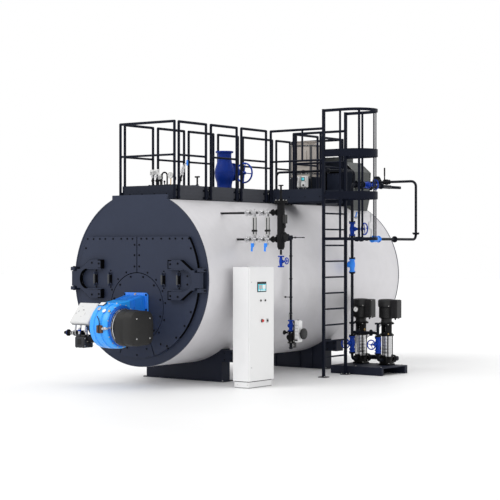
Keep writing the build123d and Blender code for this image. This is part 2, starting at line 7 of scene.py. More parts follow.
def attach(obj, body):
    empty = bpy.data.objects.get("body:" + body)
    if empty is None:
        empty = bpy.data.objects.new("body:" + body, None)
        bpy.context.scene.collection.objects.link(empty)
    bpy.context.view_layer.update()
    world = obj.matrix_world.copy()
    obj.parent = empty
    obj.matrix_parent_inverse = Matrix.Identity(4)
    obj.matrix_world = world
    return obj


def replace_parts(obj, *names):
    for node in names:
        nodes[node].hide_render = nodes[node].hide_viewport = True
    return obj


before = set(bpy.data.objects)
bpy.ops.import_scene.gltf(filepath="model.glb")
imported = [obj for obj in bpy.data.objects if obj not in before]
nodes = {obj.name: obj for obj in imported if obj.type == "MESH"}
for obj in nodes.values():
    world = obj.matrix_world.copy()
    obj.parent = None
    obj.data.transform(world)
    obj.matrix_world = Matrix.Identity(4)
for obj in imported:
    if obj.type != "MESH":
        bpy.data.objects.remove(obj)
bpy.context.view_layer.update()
random.seed(11)

FRONT = -1.134      # y of the front plate's face; s is the distance behind it
AX_Z = 1.562
R = 1.300
tau = 2 * math.pi


def V(x, s, z):
    return Vector((x, s + FRONT, z))


# ------------------------------------------------------------------ materials
def new_mat(name):
    m = bpy.data.materials.new(name)
    m.use_nodes = True
    nt = m.node_tree
    nt.nodes.clear()
    out = nt.nodes.new("ShaderNodeOutputMaterial")
    bs = nt.nodes.new("ShaderNodeBsdfPrincipled")
    nt.links.new(bs.outputs[0], out.inputs[0])
    return m, nt, bs


def coords(nt, scale=(1, 1, 1), loc=(0, 0, 0)):
    tc = nt.nodes.new("ShaderNodeTexCoord")
    mp = nt.nodes.new("ShaderNodeMapping")
    mp.inputs["Scale"].default_value = scale
    mp.inputs["Location"].default_value = loc
    nt.links.new(tc.outputs["Object"], mp.inputs["Vector"])
    return mp.outputs["Vector"]


def noise(nt, vec, scale, detail=4.0, rough=0.55):
    n = nt.nodes.new("ShaderNodeTexNoise")
    n.inputs["Scale"].default_value = scale
    n.inputs["Detail"].default_value = detail
    n.inputs["Roughness"].default_value = rough
    nt.links.new(vec, n.inputs["Vector"])
    return n.outputs["Fac"]


def ramp(nt, fac, stops):
    r = nt.nodes.new("ShaderNodeValToRGB")
    el = r.color_ramp.elements
    while len(el) < len(stops):
        el.new(0.5)
    for e, (p, c) in zip(el, stops):
        e.position = p
        e.color = (c[0], c[1], c[2], 1.0) if len(c) > 1 else (c[0], c[0], c[0], 1.0)
    nt.links.new(fac, r.inputs["Fac"])
    return r.outputs["Color"]


def mapr(nt, fac, a, b, c, d):
    m = nt.nodes.new("ShaderNodeMapRange")
    for k, v in zip(("From Min", "From Max", "To Min", "To Max"), (a, b, c, d)):
        m.inputs[k].default_value = v
    nt.links.new(fac, m.inputs["Value"])
    return m.outputs["Result"]


def mix(nt, fac, a, b, mode="MIX"):
    m = nt.nodes.new("ShaderNodeMix")
    m.data_type = "RGBA"
    m.blend_type = mode
    if hasattr(fac, "is_linked") or hasattr(fac, "links"):
        nt.links.new(fac, m.inputs[0])
    else:
        m.inputs[0].default_value = fac
    nt.links.new(a, m.inputs[6])
    nt.links.new(b, m.inputs[7])
    return m.outputs[2]


def bump(nt, h, strength, dist=0.002, normal=None):
    b = nt.nodes.new("ShaderNodeBump")
    b.inputs["Strength"].default_value = strength
    b.inputs["Distance"].default_value = dist
    nt.links.new(h, b.inputs["Height"])
    if normal is not None:
        nt.links.new(normal, b.inputs["Normal"])
    return b.outputs["Normal"]


def tone(c, k):
    return tuple(min(1.0, max(0.0, v * k)) for v in c)


def paint(name, c, rough=0.42, metal=0.0, var=0.12, big=1.6, peel=90.0, peel_h=0.12, coat=0.0, dust=0.0,
          stretch=(1, 1, 1), spec=0.5, rvar=0.08):
    m, nt, bs = new_mat(name)
    v = coords(nt, stretch)
    n1 = noise(nt, v, big, 5.0, 0.6)
    n2 = noise(nt, v, peel, 3.0, 0.5)
    n3 = noise(nt, v, big * 9.0, 6.0, 0.65)
    col = ramp(nt, n1, [(0.3, tone(c, 1.0 - var)), (0.7, tone(c, 1.0 + var))])
    fine = ramp(nt, n3, [(0.35, tone(c, 1.0 - var * 0.6)), (0.65, tone(c, 1.0 + var * 0.6))])
    col = mix(nt, 0.45, col, fine)
    if dust > 0:
        pale = ramp(nt, n3, [(0.0, (0.30, 0.30, 0.30)), (1.0, (0.42, 0.41, 0.39))])
        f = mapr(nt, n1, 0.5, 0.8, 0.0, dust)
        col = mix(nt, f, col, pale)
    nt.links.new(col, bs.inputs["Base Color"])
    nt.links.new(mapr(nt, n3, 0.3, 0.7, rough - rvar, rough + rvar), bs.inputs["Roughness"])
    nt.links.new(bump(nt, n2, peel_h, 0.001), bs.inputs["Normal"])
    bs.inputs["Metallic"].default_value = metal
    bs.inputs["Specular IOR Level"].default_value = spec
    bs.inputs["Coat Weight"].default_value = coat
    bs.inputs["Coat Roughness"].default_value = 0.18
    return m


def brushed(name, c, rough=0.36, along=(60, 1.2, 60), metal=1.0, strength=0.16, var=0.08, cloud=0.10):
    m, nt, bs = new_mat(name)
    v = coords(nt, along)
    g = noise(nt, v, 3.0, 6.0, 0.7)
    w = coords(nt)
    n1 = noise(nt, w, 0.9, 4.0, 0.55)
    n2 = noise(nt, w, 5.5, 5.0, 0.6)
    a = ramp(nt, g, [(0.25, tone(c, 1 - var)), (0.75, tone(c, 1 + var))])
    b = ramp(nt, n1, [(0.3, tone(c, 1 - cloud)), (0.7, tone(c, 1 + cloud))])
    d = ramp(nt, n2, [(0.3, tone(c, 1 - cloud * 0.5)), (0.7, tone(c, 1 + cloud * 0.5))])
    col = mix(nt, 0.5, mix(nt, 0.5, a, b), d)
    nt.links.new(col, bs.inputs["Base Color"])
    nt.links.new(mapr(nt, g, 0.2, 0.8, rough - 0.10, rough + 0.12), bs.inputs["Roughness"])
    nt.links.new(bump(nt, g, strength, 0.0008), bs.inputs["Normal"])
    bs.inputs["Metallic"].default_value = metal
    return m


def cast(name, c, rough=0.55, metal=0.0, grain=140.0, h=0.45, var=0.18, coat=0.0, spec=0.3):
    m, nt, bs = new_mat(name)
    v = coords(nt)
    n1 = noise(nt, v, 12.0, 6.0, 0.65)
    n2 = noise(nt, v, grain, 4.0, 0.6)
    col = ramp(nt, n1, [(0.3, tone(c, 1 - var)), (0.7, tone(c, 1 + var))])
    nt.links.new(col, bs.inputs["Base Color"])
    nt.links.new(mapr(nt, n2, 0.3, 0.7, rough - 0.10, rough + 0.10), bs.inputs["Roughness"])
    nt.links.new(bump(nt, n2, h, 0.0015), bs.inputs["Normal"])
    bs.inputs["Metallic"].default_value = metal
    bs.inputs["Specular IOR Level"].default_value = spec
    bs.inputs["Coat Weight"].default_value = coat
    bs.inputs["Coat Roughness"].default_value = 0.2
    return m


M = {}
M["clad"] = brushed("clad_sheet", (0.70, 0.69, 0.71), rough=0.47, along=(70, 0.7, 70), strength=0.10, metal=0.38, var=0.10)
M["stainless"] = brushed("stainless_tube", (0.60, 0.60, 0.61), rough=0.28, along=(4, 4, 60), strength=0.08)
M["navy"] = paint("navy_paint", (0.026, 0.033, 0.058), rough=0.46, coat=0.0, var=0.10, spec=0.18)
M["navy_arm"] = paint("navy_arm_paint", (0.022, 0.028, 0.050), rough=0.46, coat=0.0, var=0.10, spec=0.18)
M["frame"] = paint("frame_paint", (0.0050, 0.0070, 0.0155), rough=0.5, coat=0.0, var=0.12, spec=0.09, peel_h=0.02)
M["saddle"] = paint("saddle_paint", (0.0128, 0.0158, 0.029), rough=0.5, coat=0.0, var=0.12, spec=0.14)
M["deck"] = paint("deck_paint", (0.0150, 0.0190, 0.0320), rough=0.55, var=0.14, peel_h=0.08, spec=0.14)
# lighter copy of the deck paint, painted light for the lit side of the fascia
M["fascia"] = paint("fascia_paint", (0.056, 0.059, 0.070), rough=0.55, var=0.14, peel_h=0.08, spec=0.14)
M["grate"] = paint("grating_paint", (0.05, 0.052, 0.058), rough=0.5, metal=0.4, var=0.2)
# near-black: real gaskets between flanges, and also black bands of painted shade in gaps and on shaded edges
M["gasket"] = cast("gasket_rope", (0.002, 0.002, 0.0025), rough=0.85, grain=260, h=0.4, spec=0.04)
M["lining"] = cast("lining_board", (0.34, 0.33, 0.31), rough=0.85, grain=60, h=0.6)
M["tubeplate"] = cast("tube_plate_steel", (0.10, 0.085, 0.075), rough=0.7, grain=50, h=0.5)
M["blue"] = paint("burner_blue", (0.012, 0.21, 0.80), rough=0.34, coat=0.35, var=0.08, peel=120, peel_h=0.25)
M["scroll"] = paint("scroll_blue", (0.022, 0.36, 1.0), rough=0.36, coat=0.25, var=0.06, peel=120, peel_h=0.2)
M["blue_side"] = cast("burner_casting", (0.008, 0.13, 0.60), rough=0.4, grain=160, h=0.35, var=0.10, coat=0.25)
M["royal"] = cast("valve_royal", (0.003, 0.026, 0.225), rough=0.44, grain=110, h=0.25, var=0.14, coat=0.0, spec=0.16)
M["dblue"] = cast("valve_dark_blue", (0.003, 0.042, 0.36), rough=0.42, grain=120, h=0.2, var=0.12, coat=0.0, spec=0.16)
M["lblue"] = cast("valve_light_blue", (0.028, 0.25, 0.88), rough=0.42, grain=120, h=0.2, var=0.08, coat=0.10)
M["black"] = cast("cover_black", (0.022, 0.0215, 0.021), rough=0.55, grain=220, h=0.25, var=0.08, spec=0.22)
M["castblack"] = cast("cast_black", (0.0065, 0.0065, 0.0075), rough=0.55, grain=130, h=0.35, var=0.2, spec=0.12)
M["gasblock"] = cast("gas_block_black", (0.030, 0.031, 0.035), rough=0.55, grain=150, h=0.4, var=0.15)
M["motor"] = cast("motor_black", (0.012, 0.012, 0.013), rough=0.42, grain=150, h=0.3, var=0.15, coat=0.1)
M["pipe"] = paint("pipe_paint", (0.0060, 0.0075, 0.0130), rough=0.45, coat=0.0, var=0.14, spec=0.12, peel_h=0.03)
M["iron"] = cast("dark_iron", (0.011, 0.011, 0.013), rough=0.5, grain=120, h=0.3, var=0.2, spec=0.18)
M["white"] = paint("cabinet_coat", (0.80, 0.80, 0.80), rough=0.44, var=0.018, peel=260, peel_h=0.16, coat=0.05)
M["white_side"] = paint("cabinet_coat_body", (0.78, 0.78, 0.785), rough=0.46, var=0.018, peel=260, peel_h=0.16)
M["boxwhite"] = paint("control_box_coat", (0.68, 0.68, 0.675), rough=0.42, var=0.03, peel=260, peel_h=0.1, coat=0.05)
M["greyplastic"] = paint("grey_plastic", (0.24, 0.245, 0.25), rough=0.5, var=0.06, peel=200)
M["lightgrey"] = paint("light_grey_plastic", (0.46, 0.46, 0.46), rough=0.45, var=0.05, peel=200)
M["galv"] = paint("galvanised_sheet", (0.066, 0.072, 0.070), rough=0.46, metal=0.25, var=0.20, big=3.5, peel=40, spec=0.3)
M["skirt"] = paint("skirt_paint", (0.050, 0.052, 0.056), rough=0.5, var=0.15)
M["pale"] = cast("pale_steel", (0.56, 0.57, 0.58), rough=0.38, grain=160, h=0.15, var=0.10)
# dark casing paint; on the economizer's front face it stands in for shade
M["ecofront"] = paint("casing_dark_paint_and_shade", (0.0085, 0.0115, 0.0195), rough=0.5, var=0.14, spec=0.12)
M["beige"] = paint("duct_sheet", (0.43, 0.39, 0.355), rough=0.45, metal=0.15, var=0.08)
M["zinc"] = brushed("zinc_bolts", (0.62, 0.62, 0.60), rough=0.32, along=(30, 30, 30), strength=0.1, var=0.12)
M["steel"] = brushed("machined_steel", (0.56, 0.56, 0.57), rough=0.26, along=(40, 40, 40), strength=0.08)
M["boltdark"] = paint("dark_bolts", (0.0045, 0.0050, 0.0080), rough=0.5, metal=0.0, var=0.2, spec=0.07)
M["brass"] = brushed("brass", (0.62, 0.40, 0.14), rough=0.3, along=(30, 30, 30), strength=0.1)
M["brown"] = cast("coil_brown", (0.10, 0.042, 0.016), rough=0.45, grain=90, h=0.2)
M["rubber"] = cast("black_rubber", (0.010, 0.010, 0.010), rough=0.7, grain=180, h=0.35)
M["dial"] = paint("dial_face", (0.85, 0.85, 0.84), rough=0.35, var=0.01, peel=200, peel_h=0.03)
M["ink"] = paint("dial_ink", (0.01, 0.01, 0.012), rough=0.5, var=0.1)
M["red"] = paint("red_knob", (0.55, 0.018, 0.012), rough=0.32, var=0.06, coat=0.3)
M["cable"] = cast("cable_sheath", (0.012, 0.012, 0.012), rough=0.55, grain=120, h=0.2)


def screen_mat():
    m, nt, bs = new_mat("display_screen")
    v = coords(nt, (1, 1, 1))
    sep = nt.nodes.new("ShaderNodeSeparateXYZ")
    nt.links.new(v, sep.inputs[0])
    n = noise(nt, v, 26.0, 3.0, 0.6)
    col = ramp(nt, n, [(0.30, (0.02, 0.26, 0.36)), (0.55, (0.05, 0.50, 0.58)), (0.75, (0.40, 0.78, 0.80))])
    nt.links.new(col, bs.inputs["Base Color"])
    nt.links.new(col, bs.inputs["Emission Color"])
    bs.inputs["Emission Strength"].default_value = 0.45
    bs.inputs["Roughness"].default_value = 0.12
    return m


def glass_mat():
    m, nt, bs = new_mat("gauge_glass")
    v = coords(nt)
    n = noise(nt, v, 30.0, 3.0)
    col = ramp(nt, n, [(0.3, (0.004, 0.005, 0.006)), (0.7, (0.012, 0.014, 0.016))])
    nt.links.new(col, bs.inputs["Base Color"])
    nt.links.new(mapr(nt, n, 0.3, 0.7, 0.06, 0.12), bs.inputs["Roughness"])
    bs.inputs["Coat Weight"].default_value = 0.6
    bs.inputs["Coat Roughness"].default_value = 0.05
    return m


M["screen"] = screen_mat()
M["glass"] = glass_mat()


# ------------------------------------------------------------------ mesh builder
def basis(axis):
    a = Vector(axis).normalized()
    ref = Vector((0, 0, 1)) if abs(a.z) < 0.9 else Vector((0, 1, 0))
    u = ref.cross(a).normalized()
    v = a.cross(u).normalized()
    return a, u, v


class Piece:
    def __init__(self, name, body="boiler"):
        self.name, self.body = name, body
        self.v, self.f, self.m, self.sm = [], [], [], []
        self.mats = []

    def idx(self, mat):
        if mat not in self.mats:
            self.mats.append(mat)
        return self.mats.index(mat)

    def add(self, verts, faces, mat, smooth=True):
        o = len(self.v)
        self.v.extend([tuple(p) for p in verts])
        k = self.idx(mat)
        for f in faces:
            self.f.append([i + o for i in f])
            self.m.append(k)
            self.sm.append(smooth)

    # turned shape: profile of (distance along axis, radius)
    def lathe(self, origin, axis, prof, mat, seg=32, closed=False, phase=0.0):
        a, u, v = basis(axis)
        o = Vector(origin)
        verts, faces, rings = [], [], []
        for t, r in prof:
            if r < 1e-6:
                verts.append(o + a * t)
                rings.append([len(verts) - 1])
            else:
                ring = []
                for k in range(seg):
                    th = phase + tau * k / seg
                    verts.append(o + a * t + u * (r * math.cos(th)) + v * (r * math.sin(th)))
                    ring.append(len(verts) - 1)
                rings.append(ring)
        pairs = list(zip(rings[:-1], rings[1:]))
        if closed:
            pairs.append((rings[-1], rings[0]))
        for r0, r1 in pairs:
            if len(r0) == 1 and len(r1) == 1:
                continue
            for k in range(seg):
                j = (k + 1) % seg
                if len(r0) == 1:
                    faces.append([r0[0], r1[k], r1[j]])
                elif len(r1) == 1:
                    faces.append([r0[j], r0[k], r1[0]])
                else:
                    faces.append([r0[j], r0[k], r1[k], r1[j]])
        if not closed:
            if len(rings[0]) > 1:
                faces.append(list(rings[0]))
            if len(rings[-1]) > 1:
                faces.append(list(reversed(rings[-1])))
        self.add(verts, faces, mat)

    def cyl(self, p, q, r, mat, seg=20, ch=None, r2=None):
        p, q = Vector(p), Vector(q)
        ln = (q - p).length
        r2 = r if r2 is None else r2
        c = min(0.12 * min(r, r2), 0.1 * ln, 0.004) if ch is None else ch
        self.lathe(p, q - p, [(0, r - c), (c, r), (ln - c, r2), (ln, r2 - c)], mat, seg)

    def ringd(self, p, q, ro, ri, mat, seg=32):
        p, q = Vector(p), Vector(q)
        ln = (q - p).length
        c = min(0.003, 0.1 * (ro - ri), 0.2 * ln)
        self.lathe(p, q - p, [(0, ri), (0, ro - c), (c, ro), (ln - c, ro), (ln, ro - c), (ln, ri)], mat, seg, closed=True)

    def sphere(self, c, r, mat, seg=20, squash=1.0, axis=(0, 0, 1)):
        n = seg // 2
        prof = [(-r * squash * math.cos(math.pi * k / n), r * math.sin(math.pi * k / n)) for k in range(n + 1)]
        prof[0] = (-r * squash, 0.0)
        prof[-1] = (r * squash, 0.0)
        self.lathe(c, axis, prof, mat, seg)

    def torus(self, c, axis, rr, r, mat, seg=40, sub=10):
        a, u, v = basis(axis)
        c = Vector(c)
        verts, faces = [], []
        for i in range(seg):
            th = tau * i / seg
            d = u * math.cos(th) + v * math.sin(th)
            for j in range(sub):
                ph = tau * j / sub
                verts.append(c + d * (rr + r * math.cos(ph)) + a * (r * math.sin(ph)))
        for i in range(seg):
            for j in range(sub):
                i2, j2 = (i + 1) % seg, (j + 1) % sub
                faces.append([i * sub + j, i2 * sub + j, i2 * sub + j2, i * sub + j2])
        self.add(verts, faces, mat)

    def box(self, x0, x1, y0, y1, z0, z1, mat, ch=0.004, mtx=None):
        x0, x1 = sorted((x0, x1))
        y0, y1 = sorted((y0, y1))
        z0, z1 = sorted((z0, z1))
        ch = min(ch, 0.3 * min(x1 - x0, y1 - y0, z1 - z0))
        cx, cy, cz = (x0 + x1) / 2, (y0 + y1) / 2, (z0 + z1) / 2
        hx, hy, hz = (x1 - x0) / 2, (y1 - y0) / 2, (z1 - z0) / 2
        verts, index = [], {}
        for sx in (-1, 1):
            for sy in (-1, 1):
                for sz in (-1, 1):
                    for ax in range(3):
                        p = [sx * (hx - (0 if ax == 0 else ch)), sy * (hy - (0 if ax == 1 else ch)), sz * (hz - (0 if ax == 2 else ch))]
                        index[(sx, sy, sz, ax)] = len(verts)
                        q = Vector((p[0] + cx, p[1] + cy, p[2] + cz))
                        verts.append(mtx @ q if mtx is not None else q)
        faces = []

        def out(ids):
            pts = [verts[i] for i in ids]
            n = Vector((0, 0, 0))
            for i in range(len(pts)):
                n += pts[i].cross(pts[(i + 1) % len(pts)])
            mid = sum(pts, Vector()) / len(pts)
            c = Vector((cx, cy, cz))
            c = mtx @ c if mtx is not None else c
            n2 = Vector((0, 0, 0))
            for i in range(1, len(pts) - 1):
                n2 += (pts[i] - pts[0]).cross(pts[i + 1] - pts[0])
            if n2.dot(mid - c) < 0:
                ids = list(reversed(ids))
            faces.append(ids)
        S = (-1, 1)
        for s in S:
            out([index[(s, a, b, 0)] for a, b in ((-1, -1), (1, -1), (1, 1), (-1, 1))])
            out([index[(a, s, b, 1)] for a, b in ((-1, -1), (1, -1), (1, 1), (-1, 1))])
            out([index[(a, b, s, 2)] for a, b in ((-1, -1), (1, -1), (1, 1), (-1, 1))])
        for s in S:
            for t in S:
                out([index[(s, t, -1, 0)], index[(s, t, 1, 0)], index[(s, t, 1, 1)], index[(s, t, -1, 1)]])
                out([index[(s, -1, t, 0)], index[(s, 1, t, 0)], index[(s, 1, t, 2)], index[(s, -1, t, 2)]])
                out([index[(-1, s, t, 1)], index[(1, s, t, 1)], index[(1, s, t, 2)], index[(-1, s, t, 2)]])
        for a in S:
            for b in S:
                for c in S:
                    out([index[(a, b, c, 0)], index[(a, b, c, 1)], index[(a, b, c, 2)]])
        self.add(verts, faces, mat)

    def bar(self, p, q, w, h, mat, ch=0.003, up=None):
        """Square bar from p to q, w across and h high."""
        p, q = Vector(p), Vector(q)
        a = (q - p).normalized()
        ref = Vector(up) if up is not None else (Vector((0, 0, 1)) if abs(a.z) < 0.9 else Vector((0, 1, 0)))
        u = ref.cross(a).normalized()
        v = a.cross(u).normalized()
        m = Matrix((u, a, v)).transposed().to_4x4()
        m.translation = (p + q) / 2
        ln = (q - p).length
        self.box(-w / 2, w / 2, -ln / 2, ln / 2, -h / 2, h / 2, mat, ch, m)

    def prism(self, poly, to3, d0, d1, mat, ch=0.0):
        """poly is a 2D outline; to3(u, v, d) gives the 3D point."""
        n = len(poly)
        area = sum(poly[i][0] * poly[(i + 1) % n][1] - poly[(i + 1) % n][0] * poly[i][1] for i in range(n))
        if area < 0:
            poly = list(reversed(poly))
        layers = []
        if ch > 0:
            ins = []
            for i in range(n):
                p0, p1, p2 = Vector(poly[i - 1]), Vector(poly[i]), Vector(poly[(i + 1) % n])
                e1, e2 = (p1 - p0).normalized(), (p2 - p1).normalized()
                n1, n2 = Vector((-e1.y, e1.x)), Vector((-e2.y, e2.x))
                b = (n1 + n2)
                if b.length < 1e-6:
                    b = n1
                b = b.normalized()
                k = ch / max(0.35, b.dot(n1))
                ins.append((p1.x + b.x * k, p1.y + b.y * k))
            sg = 1 if d1 > d0 else -1
            layers = [(ins, d0), (poly, d0 + sg * ch), (poly, d1 - sg * ch), (ins, d1)]
        else:
            layers = [(poly, d0), (poly, d1)]
        verts, faces = [], []
        for pts, d in layers:
            for p in pts:
                verts.append(Vector(to3(p[0], p[1], d)))
        faces.append(list(range(n)))
        faces.append([len(verts) - n + i for i in range(n - 1, -1, -1)])
        for L in range(len(layers) - 1):
            for i in range(n):
                j = (i + 1) % n
                faces.append([L * n + j, L * n + i, (L + 1) * n + i, (L + 1) * n + j])
        # orientation test against the first cap
        c0 = sum((verts[i] for i in range(n)), Vector()) / n
        c1 = sum((verts[len(verts) - n + i] for i in range(n)), Vector()) / n
        nn = Vector()
        for i in range(n):
            nn += (verts[i] - c0).cross(verts[(i + 1) % n] - c0)
        if nn.dot(c0 - c1) < 0:
            faces = [list(reversed(f)) for f in faces]
        self.add(verts, faces, mat)

    def tube(self, pts, r, mat, bend=0.05, seg=14, arc=7):
        pts = [Vector(p) for p in pts]
        path = [pts[0]]
        for i in range(1, len(pts) - 1):
            a, b, c = pts[i - 1], pts[i], pts[i + 1]
            d1, d2 = (a - b), (c - b)
            l1, l2 = d1.length, d2.length
            d1.normalize()
            d2.normalize()
            ang = d1.angle(d2)
            if ang > math.pi - 0.02:
                continue
            t = min(bend / math.tan(ang / 2), l1 * 0.49, l2 * 0.49)
            rr = t * math.tan(ang / 2)
            centre = b + (d1 + d2).normalized() * (rr / math.sin(ang / 2))
            s0, s1 = b + d1 * t, b + d2 * t
            v0, v1 = s0 - centre, s1 - centre
            th = v0.angle(v1)
            axis = v0.cross(v1).normalized()
            for k in range(arc + 1):
                path.append(centre + Matrix.Rotation(th * k / arc, 3, axis) @ v0)
        path.append(pts[-1])
        clean = [path[0]]
        for p in path[1:]:
            if (p - clean[-1]).length > 1e-5:
                clean.append(p)
        path = clean
        t0 = (path[1] - path[0]).normalized()
        _, u, v = basis(t0)
        verts, faces = [], []
        prev = t0
        for i, p in enumerate(path):
            if i == 0:
                t = t0
            elif i == len(path) - 1:
                t = (path[-1] - path[-2]).normalized()
            else:
                t = ((path[i + 1] - p).normalized() + (p - path[i - 1]).normalized()).normalized()
            q = prev.rotation_difference(t)
            u, v = q @ u, q @ v
            prev = t
            for k in range(seg):
                th = tau * k / seg
                verts.append(p + u * (r * math.cos(th)) + v * (r * math.sin(th)))
        n = len(path)
        for i in range(n - 1):
            for k in range(seg):
                j = (k + 1) % seg
                faces.append([i * seg + k, i * seg + j, (i + 1) * seg + j, (i + 1) * seg + k])
        faces.append(list(reversed(range(seg))))
        faces.append([(n - 1) * seg + k for k in range(seg)])
        self.add(verts, faces, mat)

    def hexa(self, c, axis, r, h, mat, washer=True, phase=0.0):
        """Hexagon bolt head standing on c, r across the corners."""
        w = 0.14 * h if washer else 0.0
        if washer:
            self.lathe(c, axis, [(0, r * 1.25), (w, r * 1.25)], mat, 16)
        self.lathe(c, axis, [(w, r), (h * 0.86, r), (h, r * 0.84)], mat, 6, phase=phase)

    def bolts(self, c, axis, pcd_r, n, r, h, mat, phase=0.0):
        a, u, v = basis(axis)
        for k in range(n):
            th = phase + tau * k / n
            p = Vector(c) + u * (pcd_r * math.cos(th)) + v * (pcd_r * math.sin(th))
            self.hexa(p, a, r, h, mat, phase=th)

    def flange_pair(self, c, axis, r, t, n, mat, bolt=0.007, gap=0.003, bmat=None):
        """Two flanges face to face at c, with nuts on both sides."""
        a = Vector(axis).normalized()
        c = Vector(c)
        for sg in (-1, 1):
            p0 = c + a * (sg * gap / 2)
            self.lathe(p0, a * sg, [(0, r * 0.6), (0, r - 0.002), (0.002, r), (t - 0.002, r), (t, r - 0.003), (t, r * 0.58), (t * 1.8, r * 0.5), (t * 1.8, r * 0.2)], mat, 28)
            self.bolts(p0 + a * (sg * t), a * sg, r * 0.80, n, bolt, bolt * 1.2, bmat or mat, 0.4)
        self.lathe(c - a * gap / 2, a, [(0, r * 0.86), (gap, r * 0.86)], M["gasket"], 24)

    def flange1(self, c, axis, r, t, n, mat, bolt=0.007, bmat=None, hub=0.5):
        """One flange whose back starts at c and whose face is at c + t, with nuts on the back."""
        a = Vector(axis).normalized()
        self.lathe(c, a, [(0, r * hub), (0, r - 0.002), (0.002, r), (t - 0.002, r), (t, r - 0.003), (t, r * 0.3)], mat, 28)
        self.bolts(Vector(c), -a, r * 0.80, n, bolt, bolt * 1.2, bmat or mat, 0.4)

    def wheel(self, c, axis, rr, r, hub_r, hub_l, n, mat, dish=0.0, knob=None, phase=0.2):
        a, u, v = basis(axis)
        c = Vector(c)
        self.torus(c, a, rr, r, mat, 48, 12)
        hc = c - a * dish
        self.lathe(hc - a * hub_l / 2, a, [(0, hub_r * 0.75), (0.003, hub_r * 0.9), (hub_l * 0.4, hub_r), (hub_l - 0.003, hub_r), (hub_l, hub_r * 0.85)], mat, 24)
        for k in range(n):
            th = phase + tau * k / n
            d = u * math.cos(th) + v * math.sin(th)
            p = hc + d * hub_r * 0.7
            q = c + d * (rr - r * 0.2)
            mid = (p + q) / 2 - a * (dish * 0.1)
            self.tube([p, mid, q], r * 0.62, mat, 0.02, 10, 4)
        self.hexa(hc + a * hub_l / 2, a, hub_r * 0.6, hub_r * 0.5, M["zinc"])

    def dial(self, c, axis, r, t, stem=None, face="dial", ring="zinc", up=(0, 0, 1), turn=0.6):
        """Round gauge whose face looks along axis; c is the centre of its back."""
        a = Vector(axis).normalized()
        c = Vector(c)
        self.lathe(c, a, [(0, r * 0.55), (0.0, r * 0.9), (t * 0.15, r * 0.97), (t * 0.85, r * 0.97), (t * 0.85, r * 1.04), (t, r * 1.02), (t, r * 0.9), (t * 0.9, r * 0.88)], M[ring], 36)
        self.lathe(c + a * t * 0.88, a, [(0, r * 0.9), (0.0006, r * 0.9)], M[face], 32)
        upv = Vector(up)
        upv = (upv - a * upv.dot(a)).normalized()
        side = upv.cross(a).normalized()
        top = c + a * (t * 0.88 + 0.0012)
        for k in range(9):
            th = math.radians(-225 + 270 * k / 8)
            d = side * math.cos(th) - upv * math.sin(th)
            d = side * math.cos(math.radians(225 - 270 * k / 8)) + upv * math.sin(math.radians(225 - 270 * k / 8))
            self.bar(top + d * r * 0.66, top + d * r * 0.82, r * 0.05, 0.0012, M["ink"], 0.0002, up=a)
        th = math.radians(225 - 270 * turn)
        d = side * math.cos(th) + upv * math.sin(th)
        self.bar(top - d * r * 0.18 + a * 0.0012, top + d * r * 0.66 + a * 0.0012, r * 0.06, 0.0014, M["ink"], 0.0002, up=a)
        self.cyl(top, top + a * 0.003, r * 0.09, M["ink"], 12)

    def done(self, bevel=0.0, angle=35.0):
        me = bpy.data.meshes.new(self.name)
        me.from_pydata(self.v, [], self.f)
        for m in self.mats:
            me.materials.append(m)
        me.polygons.foreach_set("material_index", self.m)
        me.polygons.foreach_set("use_smooth", self.sm)
        me.update()
        me.validate()
        me.set_sharp_from_angle(angle=math.radians(angle))
        ob = bpy.data.objects.new(self.name, me)
        bpy.context.scene.collection.objects.link(ob)
        if bevel > 0:
            b = ob.modifiers.new("bevel", "BEVEL")
            b.width = bevel
            b.segments = 2
            b.limit_method = "ANGLE"
            b.angle_limit = math.radians(40)
            b.harden_normals = False
        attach(ob, self.body)
        return ob


# ------------------------------------------------------------------ CAD nodes keep their shape and get a finish
def finish_node(name, mat, angle=30.0):
    ob = nodes[name]
    ob.data.materials.clear()
    ob.data.materials.append(mat)
    for p in ob.data.polygons:
        p.use_smooth = True
    ob.data.set_sharp_from_angle(angle=math.radians(angle))


NODE_MAT = {
    "boiler_shell": "clad", "front_plate": "navy", "rear_plate": "navy", "rear_cover": "navy", "tube_plate": "tubeplate",
    "furnace_neck": "tubeplate", "burner_plate": "navy", "lower_cover": "navy", "front_door_right": "navy",
    "front_door_left": "navy", "door_lining_right": "lining", "door_lining_left": "lining",
    "door_hinge_arm_right": "navy_arm", "door_hinge_arm_left": "navy_arm", "hinge_posts": "navy_arm",
    "front_saddle": "saddle", "rear_saddle": "saddle", "walkway_deck": "deck", "platform_deck": "deck",
    "right_guardrail": "frame", "left_guardrail": "frame", "front_guardrail": "frame", "rear_guardrail": "frame",
    "platform_front_guardrail": "frame", "platform_rear_guardrail": "frame", "ladder": "frame",
    "ladder_cage_hoops": "frame", "ladder_cage_bars": "frame", "economizer_casing": "galv", "flue_duct": "beige",
    "cabinet_body": "white_side", "cabinet_mounting_plate": "galv", "cabinet_door": "white",
    "burner_housing": "blue", "burner_fan_scroll": "blue", "burner_motor_cover": "black",
    "burner_control_box": "boxwhite", "burner_gas_train": "castblack", "steam_valve_body": "royal",
    "steam_handwheel": "royal", "top_instrument_manifold": "pipe", "top_inspection_cover": "navy_arm",
    "level_gauges": "pipe", "level_standpipe": "pipe", "sample_line": "pipe", "feed_riser": "pipe",
    "feed_check_valve": "lblue", "feed_handwheel": "dblue", "economizer_handwheel": "dblue",
    "economizer_loop": "pipe", "crossover_pipe": "pipe", "pump_skid": "saddle", "pump_stage_left": "stainless",
    "pump_stage_right": "stainless", "pump_motor_left": "motor", "pump_motor_right": "motor",
    "pump_manifold": "pipe", "pump_handwheel_left": "dblue", "pump_handwheel_right": "dblue",
    "suction_manifold": "pipe",
}
for n, k in NODE_MAT.items():
    finish_node(n, M[k])

X, Yd, Z = Vector((1, 0, 0)), Vector((0, 1, 0)), Vector((0, 0, 1))
ZN, BK = M["zinc"], M["boltdark"]


